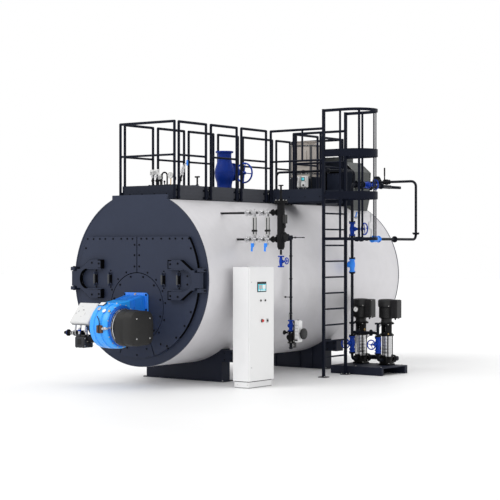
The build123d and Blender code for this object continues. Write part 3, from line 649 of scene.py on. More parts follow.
def arc_band(pc, cx, cz, r0, r1, a0, a1, s0, s1, mat, n=40):
    """Flat band in the X-Z plane between two radii and two angles in degrees."""
    verts, faces = [], []
    for i in range(n + 1):
        a = math.radians(a0 + (a1 - a0) * i / n)
        for r in (r0, r1):
            for s in (s0, s1):
                verts.append(V(cx + r * math.cos(a), s, cz + r * math.sin(a)))
    for i in range(n):
        b, c = i * 4, i * 4 + 4
        faces += [[b, c, c + 1, b + 1], [b + 2, b + 3, c + 3, c + 2], [b, b + 2, c + 2, c], [b + 1, c + 1, c + 3, b + 3]]
    faces += [[0, 1, 3, 2], [n * 4, n * 4 + 2, n * 4 + 3, n * 4 + 1]]
    pc.add(verts, faces, mat)


# ------------------------------------------------------------------ front plate, doors and burner plate
for side, sg in (("right", 1), ("left", -1)):
    p = Piece("door_trim_and_shade_" + side, "front_door_" + side)
    # black bands of painted shade on the door's outer edge, round its burner-plate cut-out and on its seam face
    arc_band(p, 0, AX_Z, 1.1625, 1.1650, *((-46.5, 32) if sg > 0 else (148, 226.5)), -0.0488, -0.003, M["gasket"], 60)
    arc_band(p, 0, 1.145, 0.5182, 0.5192, *((-61, 89) if sg > 0 else (91, 241)), -0.0495, -0.003, M["gasket"], 60)
    p.box(*sorted((sg * 0.0066, sg * 0.0072)), V(0, -0.0495, 0).y, V(0, -0.003, 0).y, 1.666, 2.189, M["gasket"], 0.0002)
    top = [x for x in (0.085, 0.19, 0.31, 0.47, 0.63, 0.74, 0.87, 0.99)]
    for x in top:
        p.hexa(V(sg * x, -0.05, 2.160), -Yd, 0.012, 0.011, BK)
    for z in (1.75, 1.917, 2.07):
        p.hexa(V(sg * 0.045, -0.05, z), -Yd, 0.012, 0.011, BK)
    for a in (8, 27, 48, 68):
        r = 0.556
        p.hexa(V(sg * r * math.cos(math.radians(a)), -0.05, 1.145 + r * math.sin(math.radians(a))), -Yd, 0.012, 0.011, BK)
    for a in (-18, -40):
        r = 0.556
        p.hexa(V(sg * r * math.cos(math.radians(a)), -0.05, 1.145 + r * math.sin(math.radians(a))), -Yd, 0.012, 0.011, BK)
    for a in (24, 12, -12, -24, -36, -48, -59):
        aa = math.radians(a)
        if a in (12, -12):
            continue
        p.hexa(V(sg * 1.125 * math.cos(aa), -0.05, AX_Z + 1.125 * math.sin(aa)), -Yd, 0.013, 0.012, BK)
    for x in (0.46, 0.60):
        p.hexa(V(sg * x, -0.05, 0.62 - (x - 0.46) * 0.4), -Yd, 0.012, 0.011, BK)
    # handle feet and grips
    for hx in (0.520, 0.810):
        for z in (1.475, 1.645):
            p.lathe(V(sg * hx, -0.05, z), -Yd, [(0, 0.026), (0.004, 0.026), (0.008, 0.018), (0.012, 0.0135)], M["navy_arm"], 20)
        p.lathe(V(sg * hx, -0.100, 1.49), Z, [(0, 0.0125), (0.01, 0.0145), (0.13, 0.0145), (0.14, 0.0125)], M["skirt"], 18)
        p.box(*sorted((sg * (hx - 0.031), sg * (hx + 0.031))), V(0, -0.0535, 0).y, V(0, -0.0495, 0).y, 1.462, 1.658, M["gasket"], 0.0015)
        for z in (1.436, 1.684):
            p.hexa(V(sg * hx, -0.05, z), -Yd, 0.010, 0.009, BK)
    p.done()

    q = Piece("hinge_trim_and_shade_" + side, "front_door_" + side)
    # hinge arm: black bands of painted shade round the recess, along the fork edges and on the end plates; lips and
    # bolts
    arc_band(q, sg * 0.940, 1.560, 0.1503, 0.1523, *((-85, 85) if sg > 0 else (95, 265)), -0.1195, -0.051, M["gasket"], 36)
    for a, b in (((0.8845, 1.8515), (1.0895, 1.7055)), ((0.8845, 1.2685), (1.0895, 1.4145))):
        q.bar(V(sg * a[0], -0.085, a[1]), V(sg * b[0], -0.085, b[1]), 0.003, 0.068, M["gasket"], 0.0005, up=Yd)
    for z0, z1 in ((1.712, 1.850), (1.270, 1.408)):
        q.box(*sorted((sg * 0.6502, sg * 0.665)), V(0, -0.1215, 0).y, V(0, -0.1195, 0).y, z0, z1, M["gasket"], 0.0005)
        for z in (z0 + 0.008, z1 - 0.008):
            q.box(*sorted((sg * 0.6502, sg * 0.720)), V(0, -0.1215, 0).y, V(0, -0.1195, 0).y, z - 0.008, z + 0.008, M["gasket"], 0.0005)
    for z in (1.712, 1.408):
        q.box(sg * 0.650, sg * 0.940, V(0, -0.128, 0).y, V(0, -0.119, 0).y, z - 0.008, z + 0.008, M["navy_arm"], 0.002)
    for z0, z1 in ((1.712, 1.850), (1.270, 1.408)):
        q.box(*sorted((sg * 0.6485, sg * 0.6512)), V(0, -0.1195, 0).y, V(0, -0.051, 0).y, z0 + 0.002, z1 - 0.002, M["gasket"], 0.0005)
    for (x, z) in ((0.70, 1.79), (0.70, 1.33), (0.84, 1.80), (0.84, 1.32), (1.02, 1.62), (1.02, 1.50)):
        q.hexa(V(sg * x, -0.120, z), -Yd, 0.013, 0.011, BK)
    for z in (1.452, 1.668):
        q.ringd(V(sg * 1.240, -0.085, z - 0.004), V(sg * 1.240, -0.085, z + 0.004), 0.0385, 0.0185, M["navy_arm"], 28)
    q.done()

p = Piece("hinge_pin_caps")
for sg in (1, -1):
    p.lathe(V(sg * 1.240, -0.085, 1.733), Z, [(0, 0.024), (0.008, 0.024), (0.014, 0.016), (0.014, 0.0)], M["castblack"], 24)
    p.lathe(V(sg * 1.240, -0.085, 1.387), -Z, [(0, 0.022), (0.006, 0.022), (0.010, 0.014), (0.010, 0.0)], M["castblack"], 24)
    for z in (1.4125, 1.7075):
        for s in (-0.025, -0.055):
            p.hexa(V(sg * 1.278, s, z), X * sg, 0.010, 0.009, BK)
p.done()

p = Piece("burner_plate_bolts")
for k in range(12):
    a = math.radians(15 + 30 * k)
    p.hexa(V(0.468 * math.cos(a), -0.05, 1.145 + 0.468 * math.sin(a)), -Yd, 0.013, 0.012, BK)
for x, z in ((0.0, 0.60), (0.0, 0.46), (-0.19, 0.56), (0.19, 0.56)):
    p.hexa(V(x, -0.05, z - 0.02), -Yd, 0.012, 0.011, BK)
# flat seam ring on the front plate's rim
arc_band(p, 0, AX_Z, 1.278, 1.2995, -60, 60, -0.004, 0.0, M["navy"], 48)
arc_band(p, 0, AX_Z, 1.278, 1.2995, 120, 240, -0.004, 0.0, M["navy"], 48)
arc_band(p, 0, AX_Z, 1.278, 1.2995, 240, 300, -0.004, 0.0, M["navy"], 30)
# black strips of painted shade at the bottom of the seams round the burner plate, the wedge and between the doors
arc_band(p, 0, 1.145, 0.507, 0.519, 0, 359.9, -0.006, -0.001, M["gasket"], 120)
p.box(-0.0034, 0.0034, V(0, -0.044, 0).y, V(0, -0.001, 0).y, 1.664, 2.190, M["gasket"], 0.0005)
for sg in (1, -1):
    p.bar(V(sg * 0.2585, -0.003, 0.672), V(sg * 0.340, -0.003, 0.452), 0.011, 0.004, M["gasket"], 0.0005, up=Yd)
    p.bar(V(sg * 0.2600, -0.028, 0.668), V(sg * 0.3385, -0.028, 0.456), 0.0060, 0.044, M["gasket"], 0.0005, up=Yd)
p.done()

# ------------------------------------------------------------------ cladding seams, straps and rivets
p = Piece("clad_seams")


def shell_band(pc, s0, s1, lift, mat, a0=-90.0, a1=64.0, n=96, both=True):
    """Band that follows the cladding from the bottom up to the walkway, on both sides."""
    for sg in ((1, -1) if both else (1,)):
        verts, faces = [], []
        for i in range(n + 1):
            a = math.radians(a0 + (a1 - a0) * i / n)
            for r in (R - 0.002, R + lift):
                for s in (s0, s1):
                    verts.append(V(sg * r * math.cos(a), s, AX_Z + r * math.sin(a)))
        for i in range(n):
            b, c = i * 4, i * 4 + 4
            quad = [[b, b + 1, c + 1, c], [b + 2, c + 2, c + 3, b + 3], [b, c, c + 2, b + 2], [b + 1, b + 3, c + 3, c + 1]]
            faces += quad if sg > 0 else [list(reversed(f)) for f in quad]
        pc.add(verts, faces, mat)


for s in (1.30, 2.62, 3.94):
    shell_band(p, s - 0.012, s + 0.012, 0.0012, M["clad"])
shell_band(p, 0.030, 0.075, 0.0015, M["clad"])
shell_band(p, 5.253, 5.298, 0.0015, M["clad"])
for s in (1.30, 2.62, 3.94, 0.055, 5.275):
    for sg in (1, -1):
        for k in range(38):
            a = math.radians(-84 + 146 * k / 37)
            d = Vector((sg * math.cos(a), 0, math.sin(a)))
            p.lathe(V(0, s, AX_Z) + d * (R + 0.0010), d, [(0, 0.004), (0.0012, 0.0034), (0.0018, 0.0)], M["zinc"], 8)
p.done()

# ------------------------------------------------------------------ saddles
p = Piece("saddle_details")
for s0, s1 in ((1.033, 1.235), (3.843, 4.045)):
    mid = (s0 + s1) / 2
    for sg in (1, -1):
        for x in (0.25, 0.50):
            # stiffening ribs on the face towards the other saddle
            zt = AX_Z - math.sqrt(R * R - x * x) - 0.004
            for (f, d) in ((s1, 1),) if s0 < 2 else ((s0, -1),):
                p.box(sg * x - 0.006, sg * x + 0.006, V(0, f, 0).y, V(0, f + d * 0.018, 0).y, 0.012, zt, M["saddle"], 0.002)
        for s in (mid - 0.112, mid + 0.112):
            p.lathe(V(sg * 0.772, s, 0.012), Z, [(0, 0.012), (0.003, 0.012)], BK, 16)
            p.hexa(V(sg * 0.772, s, 0.015), Z, 0.010, 0.010, ZN)
        for z in (0.34, 0.44):
            for x in (0.80, 0.93):
                p.hexa(V(sg * x, s0 + 0.001, z), -Yd, 0.011, 0.010, BK)
                p.hexa(V(sg * x, s1 - 0.001, z), Yd, 0.011, 0.010, BK)
p.done()

# ------------------------------------------------------------------ walkway: grating, post brackets, bolts
p = Piece("walkway_grating")


def grid(pc, x0, x1, s0, s1, z, pitch, cross, mat, holes=()):
    """Bearing bars along the walkway with cross bars; holes are (x, s, r) kept free."""
    def clear(x, s):
        return all(math.hypot(x - hx, s - hs) > hr for hx, hs, hr in holes)
    x = x0
    while x <= x1 + 1e-6:
        runs, start, s = [], None, s0
        while s <= s1 + 1e-6:
            if clear(x, s):
                start = s if start is None else start
                last = s
            elif start is not None:
                runs.append((start, last))
                start = None
            s += 0.02
        if start is not None:
            runs.append((start, s1))
        for a, b in runs:
            if b - a > 0.02:
                pc.box(x - 0.0015, x + 0.0015, V(0, a, 0).y, V(0, b, 0).y, z, z + 0.006, mat, 0.0003)
        x += pitch
    s = s0 + cross / 2
    while s < s1:
        runs, start, x = [], None, x0
        while x <= x1 + 1e-6:
            if clear(x, s):
                start = x if start is None else start
                last = x
            elif start is not None:
                runs.append((start, last))
                start = None
            x += 0.01
        if start is not None:
            runs.append((start, x1))
        for a, b in runs:
            if b - a > 0.02:
                pc.box(a, b, V(0, s - 0.0025, 0).y, V(0, s + 0.0025, 0).y, z, z + 0.0045, mat, 0.0003)
        s += cross


grid(p, -0.488, 0.488, 0.222, 4.235, 2.8152, 0.0305, 0.0762, M["grate"],
     holes=((0, 1.293, 0.155), (0, 2.069, 0.095), (0.174, 3.256, 0.03), (-0.25, 0.583, 0.02), (0.24, 0.583, 0.02)))
p.done()
p = Piece("platform_grating")
grid(p, 0.520, 1.540, 2.610, 3.162, 2.8152, 0.0310, 0.0762, M["grate"])
p.done()

p = Piece("rail_brackets")
RIGHT = ((.280, .925), (1.045, 1.692), (1.813, 2.470), (3.311, 3.950), (4.060, 4.650))
LEFT = ((.280, .935), (1.055, 1.697), (1.814, 2.457), (2.583, 3.125), (3.266, 4.112), (4.235, 4.650))
for sg, panels in ((1, RIGHT), (-1, LEFT)):
    for pr in panels:
        for s in pr:
            for z in (2.775, 2.885):
                # clamp half-shell round the post with its two lugs, bolted to the fascia
                p.ringd(V(sg * 0.530, s, z - 0.014), V(sg * 0.530, s, z + 0.014), 0.0245, 0.0200, M["frame"], 20)
                for d in (-1, 1):
                    p.box(sg * 0.5085, sg * 0.5145, V(0, s + d * 0.020, 0).y, V(0, s + d * 0.052, 0).y, z - 0.014, z + 0.014, M["frame"], 0.0015)
                    p.hexa(V(sg * 0.5145, s + d * 0.038, z), X * sg, 0.009, 0.008, ZN if (z < 2.8 and d > 0) else BK)
            p.lathe(V(sg * 0.530, s, 2.754), -Z, [(0, 0.0195), (0.003, 0.0175), (0.004, 0.0)], M["rubber"], 18)
for s, d in ((0.180, 1), (4.722, -1)):
    for x in (-0.530, 0.530):
        p.lathe(V(x, s, 2.754), -Z, [(0, 0.0195), (0.003, 0.0175), (0.004, 0.0)], M["rubber"], 18)
        p.box(x * 0.93, x * 0.965, V(0, s, 0).y, V(0, s + d * 0.022, 0).y, 2.80, 2.86, M["frame"], 0.002)
for x in (0.552, 1.165):
    if x < 1:
        p.ringd(V(x, 2.570, 2.79), V(x, 2.570, 2.82), 0.0245, 0.0200, M["frame"], 20)
        p.ringd(V(x, 2.570, 2.86), V(x, 2.570, 2.89), 0.0245, 0.0200, M["frame"], 20)
for x in (0.560, 1.090):
    for z in (2.79, 2.86):
        p.ringd(V(x, 3.202, z), V(x, 3.202, z + 0.03), 0.0245, 0.0200, M["frame"], 20)
# fascia splice plates and toe board bolts along the deck
for sg in (1, -1):
    for s in (0.98, 1.75, 2.53, 3.22, 4.00):
        p.box(sg * 0.508, sg * 0.512, V(0, s - 0.035, 0).y, V(0, s + 0.035, 0).y, 2.745, 2.915, M["frame"], 0.0015)
        for z in (2.765, 2.890):
            for d in (-0.022, 0.022):
                p.hexa(V(sg * 0.512, s + d, z), X * sg, 0.008, 0.007, ZN if z > 2.8 and d > 0 else BK)
    # folded strips of the fascia between the lips, in a lighter copy of the deck paint that is painted light
    for s0, s1, z1 in ((0.204, 2.600, 2.954), (2.608, 3.164, 2.810), (3.172, 4.698, 2.954)):
        p.box(*sorted((sg * 0.5075, sg * 0.5092)), V(0, s0, 0).y, V(0, s1, 0).y, 2.744, z1, M["fascia"], 0.0004)
        for z in (2.805, 2.860, 2.915):
            if z < z1 - 0.01:
                p.box(*sorted((sg * 0.5085, sg * 0.5115)), V(0, s0, 0).y, V(0, s1, 0).y, z - 0.004, z + 0.004, M["fascia"], 0.0010)
    # lower lip of the fascia
    p.box(sg * 0.500, sg * 0.514, V(0, 0.202, 0).y, V(0, 4.700, 0).y, 2.7355, 2.744, M["frame"], 0.002)
for x in (-0.36, -0.12, 0.12, 0.36):
    p.hexa(V(x, 0.202, 2.83), -Yd, 0.008, 0.007, BK)
for x in (0.62, 0.90, 1.20, 1.48):
    p.hexa(V(x, 2.592, 2.83), -Yd, 0.008, 0.007, BK)
    p.hexa(V(x, 3.180, 2.83), Yd, 0.008, 0.007, BK)
# front edge angle over the end plate
p.box(-0.508, 0.508, V(0, 0.196, 0).y, V(0, 0.202, 0).y, 2.736, 2.746, M["frame"], 0.002)
p.done()

# rail end fittings: short sleeves where the middle rails meet the posts
p = Piece("rail_sleeves")
for sg, panels in ((1, RIGHT), (-1, LEFT)):
    for a, b in panels:
        for s, d in ((a, 1), (b, -1)):
            p.ringd(V(sg * 0.530, s + d * 0.018, 3.400), V(sg * 0.530, s + d * 0.034, 3.400), 0.0185, 0.0160, M["frame"], 18)
for s in (0.180, 4.722):
    for x, d in ((-0.530, 1), (0.530, -1)):
        p.ringd(V(x + d * 0.018, s, 3.400), V(x + d * 0.034, s, 3.400), 0.0185, 0.0160, M["frame"], 18)
p.done()

# ------------------------------------------------------------------ ladder and cage fixings
p = Piece("ladder_details")
z = 0.313
while z < 2.7:
    for s, d in ((2.570, 1), (3.202, -1)):
        # weld collar where the rung meets the stile
        p.lathe(V(1.570, s + d * 0.0198, z), Yd * d, [(0, 0.0175), (0.003, 0.0145), (0.007, 0.0128)], M["frame"], 18)
    # anti-slip sleeve on the rung
    p.lathe(V(1.570, 2.660, z), Yd, [(0, 0.0130), (0.004, 0.0136), (0.448, 0.0136), (0.452, 0.0130)], M["frame"], 18)
    z += 0.25
for s in (2.570, 3.202):
    for dx, ds in ((0.045, 0.045), (-0.045, 0.045), (0.045, -0.045), (-0.045, -0.045)):
        p.hexa(V(1.570 + dx, s + ds, 0.012), Z, 0.009, 0.010, ZN)
    p.box(1.546, 1.594, V(0, s - 0.024, 0).y, V(0, s + 0.024, 0).y, 4.185, 4.1895, M["rubber"], 0.002)
for zc, h in ((4.165, 0.046), (3.502, 0.118), (2.842, 0.118), (2.166, 0.046)):
    n = 2 if h > 0.1 else 1
    for k in range(n):
        zz = zc + (k - (n - 1) / 2) * 0.07
        for s, d in ((2.550, -1), (3.222, 1)):
            p.hexa(V(1.605, s + d * 0.0005, zz), Yd * d, 0.009, 0.008, BK)
        for a in (-50, 0, 50):
            aa = math.radians(a)
            c = V(1.970 + 0.336 * math.cos(aa), 2.886 + 0.336 * math.sin(aa), zz)
            p.lathe(c, Vector((math.cos(aa), math.sin(aa), 0)), [(0, 0.008), (0.002, 0.007), (0.004, 0.0035), (0.004, 0)], BK, 12)
        for ds in (-0.336, 0.336):
            p.lathe(V(1.880, 2.886 + ds, zz), Yd * (1 if ds > 0 else -1), [(0, 0.008), (0.002, 0.007), (0.004, 0.0035), (0.004, 0)], BK, 12)
# brackets from the stiles to the platform edge
for s, d in ((2.592, 1), (3.180, -1)):
    p.box(1.545, 1.552, V(0, s, 0).y, V(0, s + d * 0.05, 0).y, 2.77, 2.89, M["frame"], 0.002)
p.done()

# ------------------------------------------------------------------ burner
BS, BZ = -0.600, 0.900


p = Piece("burner_casing")
SB = M["blue"]
# rectangular flange with rounded corners
pts = []
for cx, cz, a0 in ((0.231 - 0.05, 1.365 - 0.05, 0), (-0.245 + 0.05, 1.365 - 0.05, 90), (-0.245 + 0.05, 0.865 + 0.05, 180), (0.231 - 0.05, 0.865 + 0.05, 270)):
    for k in range(7):
        a = math.radians(a0 + 15 * k)
        pts.append((cx + 0.05 * math.cos(a), cz + 0.05 * math.sin(a)))
p.prism(pts, lambda u, v, d: V(u, d, v), -0.050, -0.076, SB, 0.005)
ins = [(-0.007 + (x + 0.007) * 0.90, 1.115 + (z - 1.115) * 0.90) for x, z in pts]
p.prism(ins, lambda u, v, d: V(u, d, v), -0.076, -0.083, SB, 0.003)
for x, z in ((-0.215, 1.335), (-0.007, 1.340), (0.201, 1.335), (0.205, 1.115), (0.201, 0.895), (-0.215, 0.895), (-0.219, 1.115)):
    p.hexa(V(x, -0.076, z), -Yd, 0.014, 0.013, M["brass"] if (x, z) == (-0.007, 1.340) else BK)
# tapered throat between flange and scroll, drawn as rings of a loft
rings = []
for t in range(9):
    f = t / 8.0
    s = -0.082 - f * 0.330
    ztop = 1.3345 - 0.0668 * f
    zbot = 0.900 - 0.02 * f
    xl, xr = -0.196 + 0.046 * f * f, 0.182 - 0.034 * f * f
    rc = 0.035
    ring = []
    for cx, cz, a0 in ((xr - rc, ztop - rc, 0), (xl + rc, ztop - rc, 90), (xl + rc, zbot + rc, 180), (xr - rc, zbot + rc, 270)):
        for k in range(5):
            a = math.radians(a0 + 22.5 * k)
            ring.append(V(cx + rc * math.cos(a), s, cz + rc * math.sin(a)))
    rings.append(ring)
n = len(rings[0])
faces = []
for i in range(len(rings) - 1):
    for k in range(n):
        j = (k + 1) % n
        faces.append([i * n + k, i * n + j, (i + 1) * n + j, (i + 1) * n + k])
p.add([q for r in rings for q in r], faces, M["blue"])
# rib lines on the throat
for x in (-0.10, 0.09):
    p.bar(V(x, -0.090, 1.3335), V(x, -0.400, 1.2705), 0.008, 0.009, M["blue"], 0.002)
for s in (-0.16, -0.30):
    zt = 1.3345 - 0.0668 * (-s - 0.082) / 0.33
    p.bar(V(0.1835 - 0.01 * (-s - 0.08) / 0.33, s, 0.93), V(0.1835 - 0.01 * (-s - 0.08) / 0.33, s, zt - 0.03), 0.010, 0.010, M["blue"], 0.002)
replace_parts(p.done(), "burner_housing")

p = Piece("burner_scroll")
# spiral casing whose radius grows towards the outlet on top, with two rims and a groove between
prof2 = [(-0.152, 0.90), (-0.146, 0.955), (-0.136, 0.985), (-0.060, 1.0), (-0.052, 0.965), (-0.030, 0.965), (-0.022, 1.006),
         (0.066, 1.006), (0.074, 0.965), (0.100, 0.965), (0.108, 1.0), (0.176, 0.985), (0.190, 0.955), (0.1955, 0.90)]
segn = 96
ringv = []
for (x, k) in prof2:
    for i in range(segn):
        a = tau * i / segn
        deg = math.degrees(a)
        grow = ((deg - 70) % 360) / 360.0
        rr = (0.318 + 0.018 * grow) * k
        ringv.append(V(x, BS + rr * math.cos(a), BZ + rr * math.sin(a)))
faces = []
L = len(prof2)
for i in range(L - 1):
    for k in range(segn):
        j = (k + 1) % segn
        faces.append([i * segn + k, i * segn + j, (i + 1) * segn + j, (i + 1) * segn + k])
faces.append([k for k in range(segn)])
faces.append([(L - 1) * segn + k for k in reversed(range(segn))])
faces = [list(reversed(f)) for f in faces]
p.add(ringv, faces, M["scroll"])
# outlet box that joins the scroll to the throat
p.prism([(-0.662, 1.165), (-0.655, 1.233), (-0.560, 1.2395), (-0.400, 1.2655), (-0.392, 1.165), (-0.392, 0.90), (-0.62, 0.90)],
        lambda u, v, d: V(d, u, v), -0.146, 0.178, M["scroll"], 0.012)
# rim flange ribs and bolts on the side face
p.lathe(V(0.193, BS, BZ), X, [(0, 0.298), (0.010, 0.298), (0.014, 0.287), (0.029, 0.286), (0.029, 0.250)], M["blue_side"], 72)
p.bolts(V(0.1945, BS, BZ), X, 0.306, 16, 0.009, 0.009, ZN, 0.1)
p.bolts(V(-0.150, BS, BZ), -X, 0.270, 12, 0.010, 0.009, BK, 0.1)
p.lathe(V(-0.150, BS, BZ), -X, [(0, 0.285), (0.006, 0.280), (0.010, 0.20), (0.016, 0.19), (0.018, 0.0)], M["blue_side"], 72)
for k in range(9):
    a = tau * k / 9 + 0.2
    p.bar(V(-0.159, BS + 0.08 * math.cos(a), BZ + 0.08 * math.sin(a)), V(-0.159, BS + 0.19 * math.cos(a), BZ + 0.19 * math.sin(a)), 0.010, 0.010, M["blue_side"], 0.002, up=X)
# blank plate on the rim of the scroll, with its dark surround
aa = math.radians(106)
m = Matrix.Rotation(math.radians(120) - math.pi / 2, 4, "X")
m.translation = V(-0.095, BS + 0.328 * math.cos(aa), BZ + 0.328 * math.sin(aa))
p.box(-0.052, 0.052, -0.044, 0.044, -0.008, 0.004, M["ink"], 0.002, m)
p.box(-0.044, 0.044, -0.038, 0.034, 0.003, 0.0065, M["dial"], 0.0015, m)
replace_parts(p.done(), "burner_fan_scroll")

p = Piece("burner_motor")
# machined motor flange
for x0, x1, rr, mm in ((0.2215, 0.2305, 0.270, "steel"), (0.2305, 0.2440, 0.256, "castblack"), (0.2440, 0.2590, 0.266, "steel"), (0.2590, 0.2740, 0.254, "castblack")):
    p.ringd(V(x0, BS, BZ - 0.014), V(x1, BS, BZ - 0.014), rr, 0.18, M[mm], 72)
p.bolts(V(0.2305, BS, BZ - 0.014), X, 0.262, 14, 0.008, 0.008, BK, 0.05)
# two-lobed cover: super-ellipse sections along the motor axis
sec = [(0.272, 0.200, 0.205, 3.0), (0.272, 0.250, 0.250, 3.0), (0.280, 0.259, 0.258, 3.0), (0.302, 0.264, 0.262, 3.0), (0.360, 0.2655, 0.2635, 3.1),
       (0.396, 0.263, 0.2615, 3.2), (0.418, 0.256, 0.2545, 3.3), (0.434, 0.251, 0.2500, 3.6), (0.455, 0.2535, 0.2525, 3.8), (0.545, 0.2515, 0.2505, 4.0),
       (0.580, 0.242, 0.243, 4.0), (0.597, 0.224, 0.226, 3.8), (0.603, 0.198, 0.202, 3.6), (0.6045, 0.10, 0.10, 3.0)]
n = 80
verts, faces = [], []
for (x, a, b, e) in sec:
    for k in range(n):
        th = tau * k / n
        c, s_ = math.cos(th), math.sin(th)
        verts.append(V(x, BS + a * math.copysign(abs(c) ** (2 / e), c), BZ - 0.022 + b * math.copysign(abs(s_) ** (2 / e), s_)))
for i in range(len(sec) - 1):
    for k in range(n):
        j = (k + 1) % n
        faces.append([(i + 1) * n + k, (i + 1) * n + j, i * n + j, i * n + k])
faces.append(list(reversed([(len(sec) - 1) * n + k for k in range(n)])))
faces = [list(reversed(f)) for f in faces]
p.add(verts, faces, M["black"])
for s, z in ((-0.738, 1.020), (-0.455, 1.020), (-0.738, 0.735), (-0.455, 0.735)):
    p.lathe(V(0.5975, s, z), X, [(0, 0.020), (0.003, 0.018)], M["black"], 20)
    p.lathe(V(0.5990, s, z), X, [(0, 0.0125), (0.003, 0.0120), (0.0055, 0.007), (0.006, 0)], M["dial"], 18)
for k in range(7):
    p.box(0.599, 0.6040, V(0, BS - 0.10, 0).y, V(0, BS + 0.10, 0).y, 0.778 + 0.033 * k, 0.790 + 0.033 * k, M["rubber"], 0.001)
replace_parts(p.done(), "burner_motor_cover")

p = Piece("burner_fittings")
# pressure switches on the scroll
for x, a, mat, r in ((0.005, 100, "steel", 0.015), (0.145, 98, "steel", 0.014)):
    aa = math.radians(a)
    d = Vector((0, math.cos(aa), math.sin(aa)))
    o = V(x, BS + 0.306 * math.cos(aa), BZ + 0.306 * math.sin(aa))
    p.lathe(o, d, [(0, r * 0.5), (0.012, r * 0.5), (0.014, r), (0.030, r), (0.034, r * 0.8), (0.034, 0)], M[mat], 20)
# same switches seen on the outer rim, facing the camera
for a, mat, r, x in ((131, "steel", 0.031, -0.040), (137, "dial", 0.030, 0.075), (137, "brass", 0.019, 0.172)):
    aa = math.radians(a)
    d = Vector((0, math.cos(aa), math.sin(aa)))
    o = V(x, BS + 0.320 * math.cos(aa), BZ + 0.320 * math.sin(aa))
    p.lathe(o, d, [(0, r * 0.5), (0.008, r * 0.5), (0.010, r), (0.016, r), (0.018, r * 0.8), (0.018, 0)], M[mat], 20)
# coil with its core and a bright elbow to the motor flange
p.box(0.016, 0.120, V(0, -0.952, 0).y, V(0, -0.905, 0).y, 0.812, 0.922, M["brown"], 0.008)
p.box(0.055, 0.083, V(0, -0.957, 0).y, V(0, -0.90, 0).y, 0.809, 0.925, M["rubber"], 0.004)
p.cyl(V(0.120, -0.930, 0.875), V(0.155, -0.930, 0.875), 0.022, M["steel"], 20)
p.tube([V(0.145, -0.930, 0.875), V(0.196, -0.930, 0.875), V(0.196, -0.845, 0.90)], 0.012, M["steel"], 0.02)
p.sphere(V(0.174, -0.930, 0.880), 0.024, M["steel"], 16)
p.lathe(V(0.208, -0.862, 0.890), -Yd, [(0, 0.018), (0.02, 0.018), (0.024, 0.013), (0.03, 0.013)], M["steel"], 16)
p.tube([V(0.060, -0.93, 0.925), V(0.060, -0.935, 0.99), V(-0.02, -0.89, 1.05)], 0.006, M["cable"], 0.03, 10)
p.done()

# control box: tilted lid with rounded edges, grey tray, feet
p = Piece("burner_control_case")
u1 = Vector((0, -0.235, -0.285)).normalized()      # down the sloping lid
nrm = Vector((0, -0.285, 0.235)).normalized()       # out of the lid
base = V(-0.580, -0.5675, 1.0725)
mm = Matrix((X, -u1, nrm)).transposed().to_4x4()
mm.translation = base
L_ = math.hypot(0.235, 0.285)
p.box(-0.190, 0.190, -L_ / 2, L_ / 2, -0.046, 0.0, M["boxwhite"], 0.010, mm)
p.box(-0.184, 0.184, -L_ / 2 + 0.006, L_ / 2 - 0.006, -0.0775, -0.0455, M["greyplastic"], 0.004, mm)
p.box(-0.176, 0.176, -L_ / 2 + 0.012, L_ / 2 - 0.012, -0.002, 0.0018, M["boxwhite"], 0.001, mm)
# plain small keys, lamps and a cover strip on the lid
for (u, v, w, h, mat) in ((-0.03, 0.045, 0.034, 0.010, "ink"), (-0.11, 0.02, 0.012, 0.022, "greyplastic"), (-0.145, -0.02, 0.010, 0.020, "greyplastic"),
                          (0.035, -0.03, 0.006, 0.060, "lightgrey"), (-0.02, -0.075, 0.030, 0.006, "lightgrey"), (-0.09, 0.11, 0.040, 0.006, "lightgrey")):
    p.box(u - w / 2, u + w / 2, v - h / 2, v + h / 2, 0.0008, 0.0035, M[mat], 0.0008, mm)
for u in (-0.172, 0.172):
    for v in (-0.168, 0.168):
        q = mm @ Vector((u, v, 0.0))
        p.lathe(q, nrm, [(0, 0.007), (0.002, 0.006), (0.002, 0)], ZN, 12)
for x in (-0.70, -0.60, -0.50):
    p.cyl(V(x, -0.625, 0.79), V(x, -0.612, 0.905), 0.013, M["steel"], 16)
    p.lathe(V(x, -0.625, 0.792), Z, [(0, 0.022), (0.006, 0.022), (0.01, 0.015)], M["steel"], 16)
p.tube([V(-0.395, -0.545, 1.020), V(-0.155, -0.545, 1.020)], 0.024, M["steel"], 0.02, 18)
p.cyl(V(-0.410, -0.545, 1.020), V(-0.385, -0.545, 1.020), 0.036, M["greyplastic"], 24)
p.tube([V(-0.43, -0.50, 1.03), V(-0.36, -0.52, 0.98), V(-0.25, -0.60, 0.95), V(-0.17, -0.62, 0.93)], 0.007, M["cable"], 0.05, 10)
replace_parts(p.done(), "burner_control_box")

# gas train
p = Piece("burner_gas_valves")
GB = M["gasblock"]
p.box(-0.643, -0.452, V(0, -0.698, 0).y, V(0, -0.502, 0).y, 0.562, 0.722, GB, 0.012)
for k in range(6):
    x = -0.634 + 0.030 * k
    p.box(x, x + 0.010, V(0, -0.7025, 0).y, V(0, -0.69, 0).y, 0.572, 0.712, GB, 0.003)
p.box(-0.585, -0.515, V(0, -0.7035, 0).y, V(0, -0.69, 0).y, 0.610, 0.690, M["rubber"], 0.006)
p.box(-0.640, -0.555, V(0, -0.69, 0).y, V(0, -0.51, 0).y, 0.722, 0.7545, GB, 0.008)
p.box(-0.545, -0.458, V(0, -0.68, 0).y, V(0, -0.52, 0).y, 0.722, 0.750, M["motor"], 0.008)
for x in (-0.615, -0.548, -0.480):
    for s in (-0.685, -0.515):
        p.hexa(V(x, s, 0.5635), -Z, 0.009, 0.0035, BK, washer=False)
for s in (-0.68, -0.52):
    for z in (0.59, 0.70):
        p.hexa(V(-0.452, s, z), X, 0.009, 0.008, ZN)
p.lathe(V(-0.453, BS, 0.690), X, [(0, 0.066), (0.018, 0.066), (0.020, 0.050), (0.20, 0.050), (0.22, 0.052), (0.288, 0.052)], M["castblack"], 36)
